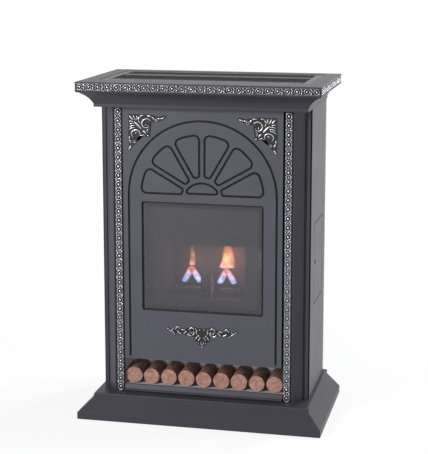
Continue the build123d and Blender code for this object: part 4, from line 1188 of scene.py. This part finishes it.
@dataclass(frozen=True)
class Flames:
    """Four jets in two pairs above the burner's ports."""

    depth_mm: float = -56.0
    port_mm: float = 354.0
    around: int = 12
    pairs: tuple[FlamePair, ...] = (
        FlamePair(-69.0, -24.0, (-47.0, 400.0), (-46.0, 456.0), 8.0),
        FlamePair(69.0, 29.0, (48.0, 398.0), (50.0, 466.0), 20.0),
    )

    def _tongue(
        self, mesh: bmesh.types.BMesh, path: Sequence[Point], girth: Callable[[float], float]
    ) -> None:
        """Add one closed tongue of gas round a path."""
        rings = []
        around = self.around
        for i, (x, z) in enumerate(path):
            t = i / (len(path) - 1)
            radius = girth(t)
            sway = 2.0 * math.sin(5.0 * t + x * 0.1)
            rings.append(
                [
                    mesh.verts.new(
                        Vector(
                            (
                                x + radius * math.cos(a) * (1 + 0.18 * math.sin(3 * a + 4 * t)),
                                self.depth_mm + sway + radius * 0.7 * math.sin(a),
                                z,
                            )
                        )
                        * MM
                    )
                    for a in (2 * math.pi * k / around for k in range(around))
                ]
            )
        for low, high in zip(rings, rings[1:]):
            for k in range(around):
                j = (k + 1) % around
                mesh.faces.new((low[k], low[j], high[j], high[k]))
        mesh.faces.new(rings[0])
        mesh.faces.new(rings[-1])

    def build(self, paint: Paintbox) -> bpy.types.Object:
        """Model the flames as one body of glowing gas.

        Args:
            paint: Materials of the scene.

        Returns:
            The flames.
        """
        mesh = bmesh.new()
        for pair in self.pairs:
            for foot in (pair.outer, pair.inner):
                bend = (foot * 0.45 + pair.meet[0] * 0.55, (self.port_mm + pair.meet[1]) / 2)
                path = smooth_path([(foot, self.port_mm), bend, (pair.meet[0], pair.meet[1] - 3.0)])
                self._tongue(mesh, path, lambda t: 4.0 + 5.5 * math.sin(math.pi * min(1.0, 0.25 + t * 0.6)))
            lean = ((pair.meet[0] + pair.tip[0]) / 2 + 2, (pair.meet[1] + pair.tip[1]) / 2)
            rise = smooth_path([pair.meet, lean, pair.tip])
            self._tongue(mesh, rise, lambda t: 0.8 + pair.girth_mm * (1 - t) ** 0.45)
        bmesh.ops.recalc_face_normals(mesh, faces=mesh.faces)
        made = mesh_object("gas_flames", mesh, smooth_angle=80)
        paint.coat(made, Finishes.FLAME)
        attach(made, "casing")
        return made


@dataclass(frozen=True)
class SoftBox:
    """A rectangular studio lamp, in metres and watts."""

    name: str
    spot: Triple
    target: Triple
    size: tuple[float, float]
    watts: float
    mirrored: bool = True

    def build(self) -> None:
        """Hang the lamp and turn it to its target."""
        lamp = bpy.data.lights.new(self.name, "AREA")
        lamp.shape = "RECTANGLE"
        lamp.size, lamp.size_y = self.size
        lamp.energy = self.watts
        made = bpy.data.objects.new(self.name, lamp)
        made.location = self.spot
        made.rotation_euler = (Vector(self.target) - Vector(self.spot)).to_track_quat("-Z", "Y").to_euler()
        made.visible_glossy = self.mirrored
        bpy.context.scene.collection.objects.link(made)


@dataclass(frozen=True)
class Studio:
    """White studio: pale floor, soft boxes and the camera of the photograph."""

    floor_m: float = 40.0
    floor_colour: str = "8a8a8c"
    floor_lift: tuple[float, float] = (0.81, 1.0)
    lift_reach_m: tuple[float, float] = (0.8, 3.5)
    ambient: float = 0.13
    sensor_mm: float = 36.0
    lens_mm: float = 107.06
    lens_shift: float = -0.1
    clip_m: float = 60.0
    camera_spot: Triple = (0.7906, -3.4756, 1.2414)
    camera_turn: Triple = (80.1, 0.0, 12.8)
    boxes: tuple[SoftBox, ...] = (
        SoftBox("front_softbox", (-1.9, -2.9, 1.6), (0.0, -0.1, 0.5), (1.1, 1.1), 104.0),
        SoftBox("side_softbox", (3.0, 1.5, 1.1), (0.2, 0.0, 0.5), (1.0, 1.4), 60.0),
        SoftBox("top_softbox", (1.2, 1.8, 2.0), (0.1, 0.0, 0.8), (0.6, 0.6), 30.0),
        SoftBox("niche_softbox", (0.25, -2.2, 0.22), (0.0, 0.0, 0.1), (0.8, 0.2), 12.0, mirrored=False),
    )
    fire_spots: tuple[tuple[float, float, str], ...] = ((-0.047, 0.15, "ffb0a0"), (0.05, 0.3, "ffa878"))
    fire_yz: tuple[float, float] = (-0.056, 0.41)
    fire_size_m: float = 0.015

    def _world(self) -> None:
        """Light the room softly and show it white."""
        world = bpy.data.worlds.new("white_studio")
        world.use_nodes = True
        tree = world.node_tree
        tree.nodes.clear()
        soft = add_node(tree, "ShaderNodeBackground", {"Color": linear("e8ebf2"), "Strength": self.ambient})
        white = add_node(tree, "ShaderNodeBackground", {"Color": (1, 1, 1, 1), "Strength": 1.0})
        shades = {0: self._seen(tree), 1: soft.outputs["Background"], 2: white.outputs["Background"]}
        mix = add_node(tree, "ShaderNodeMixShader", shades)
        output = add_node(tree, "ShaderNodeOutputWorld")
        tree.links.new(mix.outputs["Shader"], output.inputs["Surface"])
        bpy.context.scene.world = world

    def _seen(self, tree: bpy.types.NodeTree) -> bpy.types.NodeSocket:
        """Tell rays that show a surface from rays that only light one."""
        path = add_node(tree, "ShaderNodeLightPath")
        seen = path.outputs["Is Camera Ray"]
        for ray in ("Is Glossy Ray", "Is Transmission Ray"):
            seen = calculate(tree, "MAXIMUM", seen, path.outputs[ray])
        return seen

    def _floor(self) -> None:
        """Lay the floor."""
        mesh = bmesh.new()
        reach = (-self.floor_m / 2, self.floor_m / 2)
        mesh.faces.new([mesh.verts.new((x, y, 0)) for x, y in rectangle(reach, reach)])
        floor = mesh_object("studio_floor", mesh)
        floor.data.materials.append(self._floor_material())

    def _floor_material(self) -> bpy.types.Material:
        """Matt floor that keeps the object's shadow and fades to white further off."""
        made = blank_material("matt_white_floor")
        tree = made.node_tree
        board = add_node(tree, "ShaderNodeBsdfDiffuse", {"Color": linear(self.floor_colour)})
        place = add_node(tree, "ShaderNodeTexCoord").outputs["Object"]
        away = add_node(tree, "ShaderNodeVectorMath", {0: place}, operation="LENGTH").outputs["Value"]
        paper = remap(tree, away, *self.lift_reach_m, *self.floor_lift)
        lift = calculate(tree, "MULTIPLY", self._seen(tree), paper)
        white = add_node(tree, "ShaderNodeEmission", {"Strength": lift})
        both = add_node(tree, "ShaderNodeAddShader", {0: board.outputs["BSDF"], 1: white.outputs["Emission"]})
        output = add_node(tree, "ShaderNodeOutputMaterial")
        tree.links.new(both.outputs["Shader"], output.inputs["Surface"])
        return made

    def _camera(self) -> None:
        """Set the camera that was solved on the photograph."""
        lens = bpy.data.cameras.new("camera")
        lens.sensor_width = self.sensor_mm
        lens.lens = self.lens_mm
        lens.shift_y = self.lens_shift
        lens.clip_end = self.clip_m
        made = bpy.data.objects.new("camera", lens)
        made.location = self.camera_spot
        made.rotation_euler = [math.radians(angle) for angle in self.camera_turn]
        scene = bpy.context.scene
        scene.collection.objects.link(made)
        scene.camera = made
        scene.view_settings.view_transform = "Standard"

    def build(self) -> None:
        """Set up the floor, the lights, the world and the camera."""
        self._world()
        self._floor()
        self._camera()
        for box in self.boxes:
            box.build()
        self._fire_glow()

    def _fire_glow(self) -> None:
        """Let each flame light the firebox round it."""
        for x, watts, colour in self.fire_spots:
            fire = bpy.data.lights.new("fire_glow", "POINT")
            fire.energy = watts
            fire.color = linear(colour)[:3]
            fire.shadow_soft_size = self.fire_size_m
            made = bpy.data.objects.new("fire_glow", fire)
            made.location = (x, *self.fire_yz)
            made.visible_camera = False
            made.visible_glossy = False
            made.visible_transmission = False
            bpy.context.scene.collection.objects.link(made)


def main() -> None:
    """Build the looks of the heater."""
    logging.basicConfig(level=logging.INFO)
    paint = Paintbox()
    for finish, nodes in CAD_FINISHES.items():
        for node in nodes:
            paint.coat(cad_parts[node], finish)
    scroll = CornerScroll()
    scroll.build(paint, "left", 1)
    scroll.build(paint, "right", -1)
    Garland().build(paint)
    rope = RopeColumn()
    rope.build(paint, "left", -1)
    rope.build(paint, "right", 1)
    MantelBand().build(paint)
    LogRow().build(paint)
    Flames().build(paint)
    Studio().build()
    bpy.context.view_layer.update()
    LOG.info("heater built")


if __name__ == "__main__":
    main()
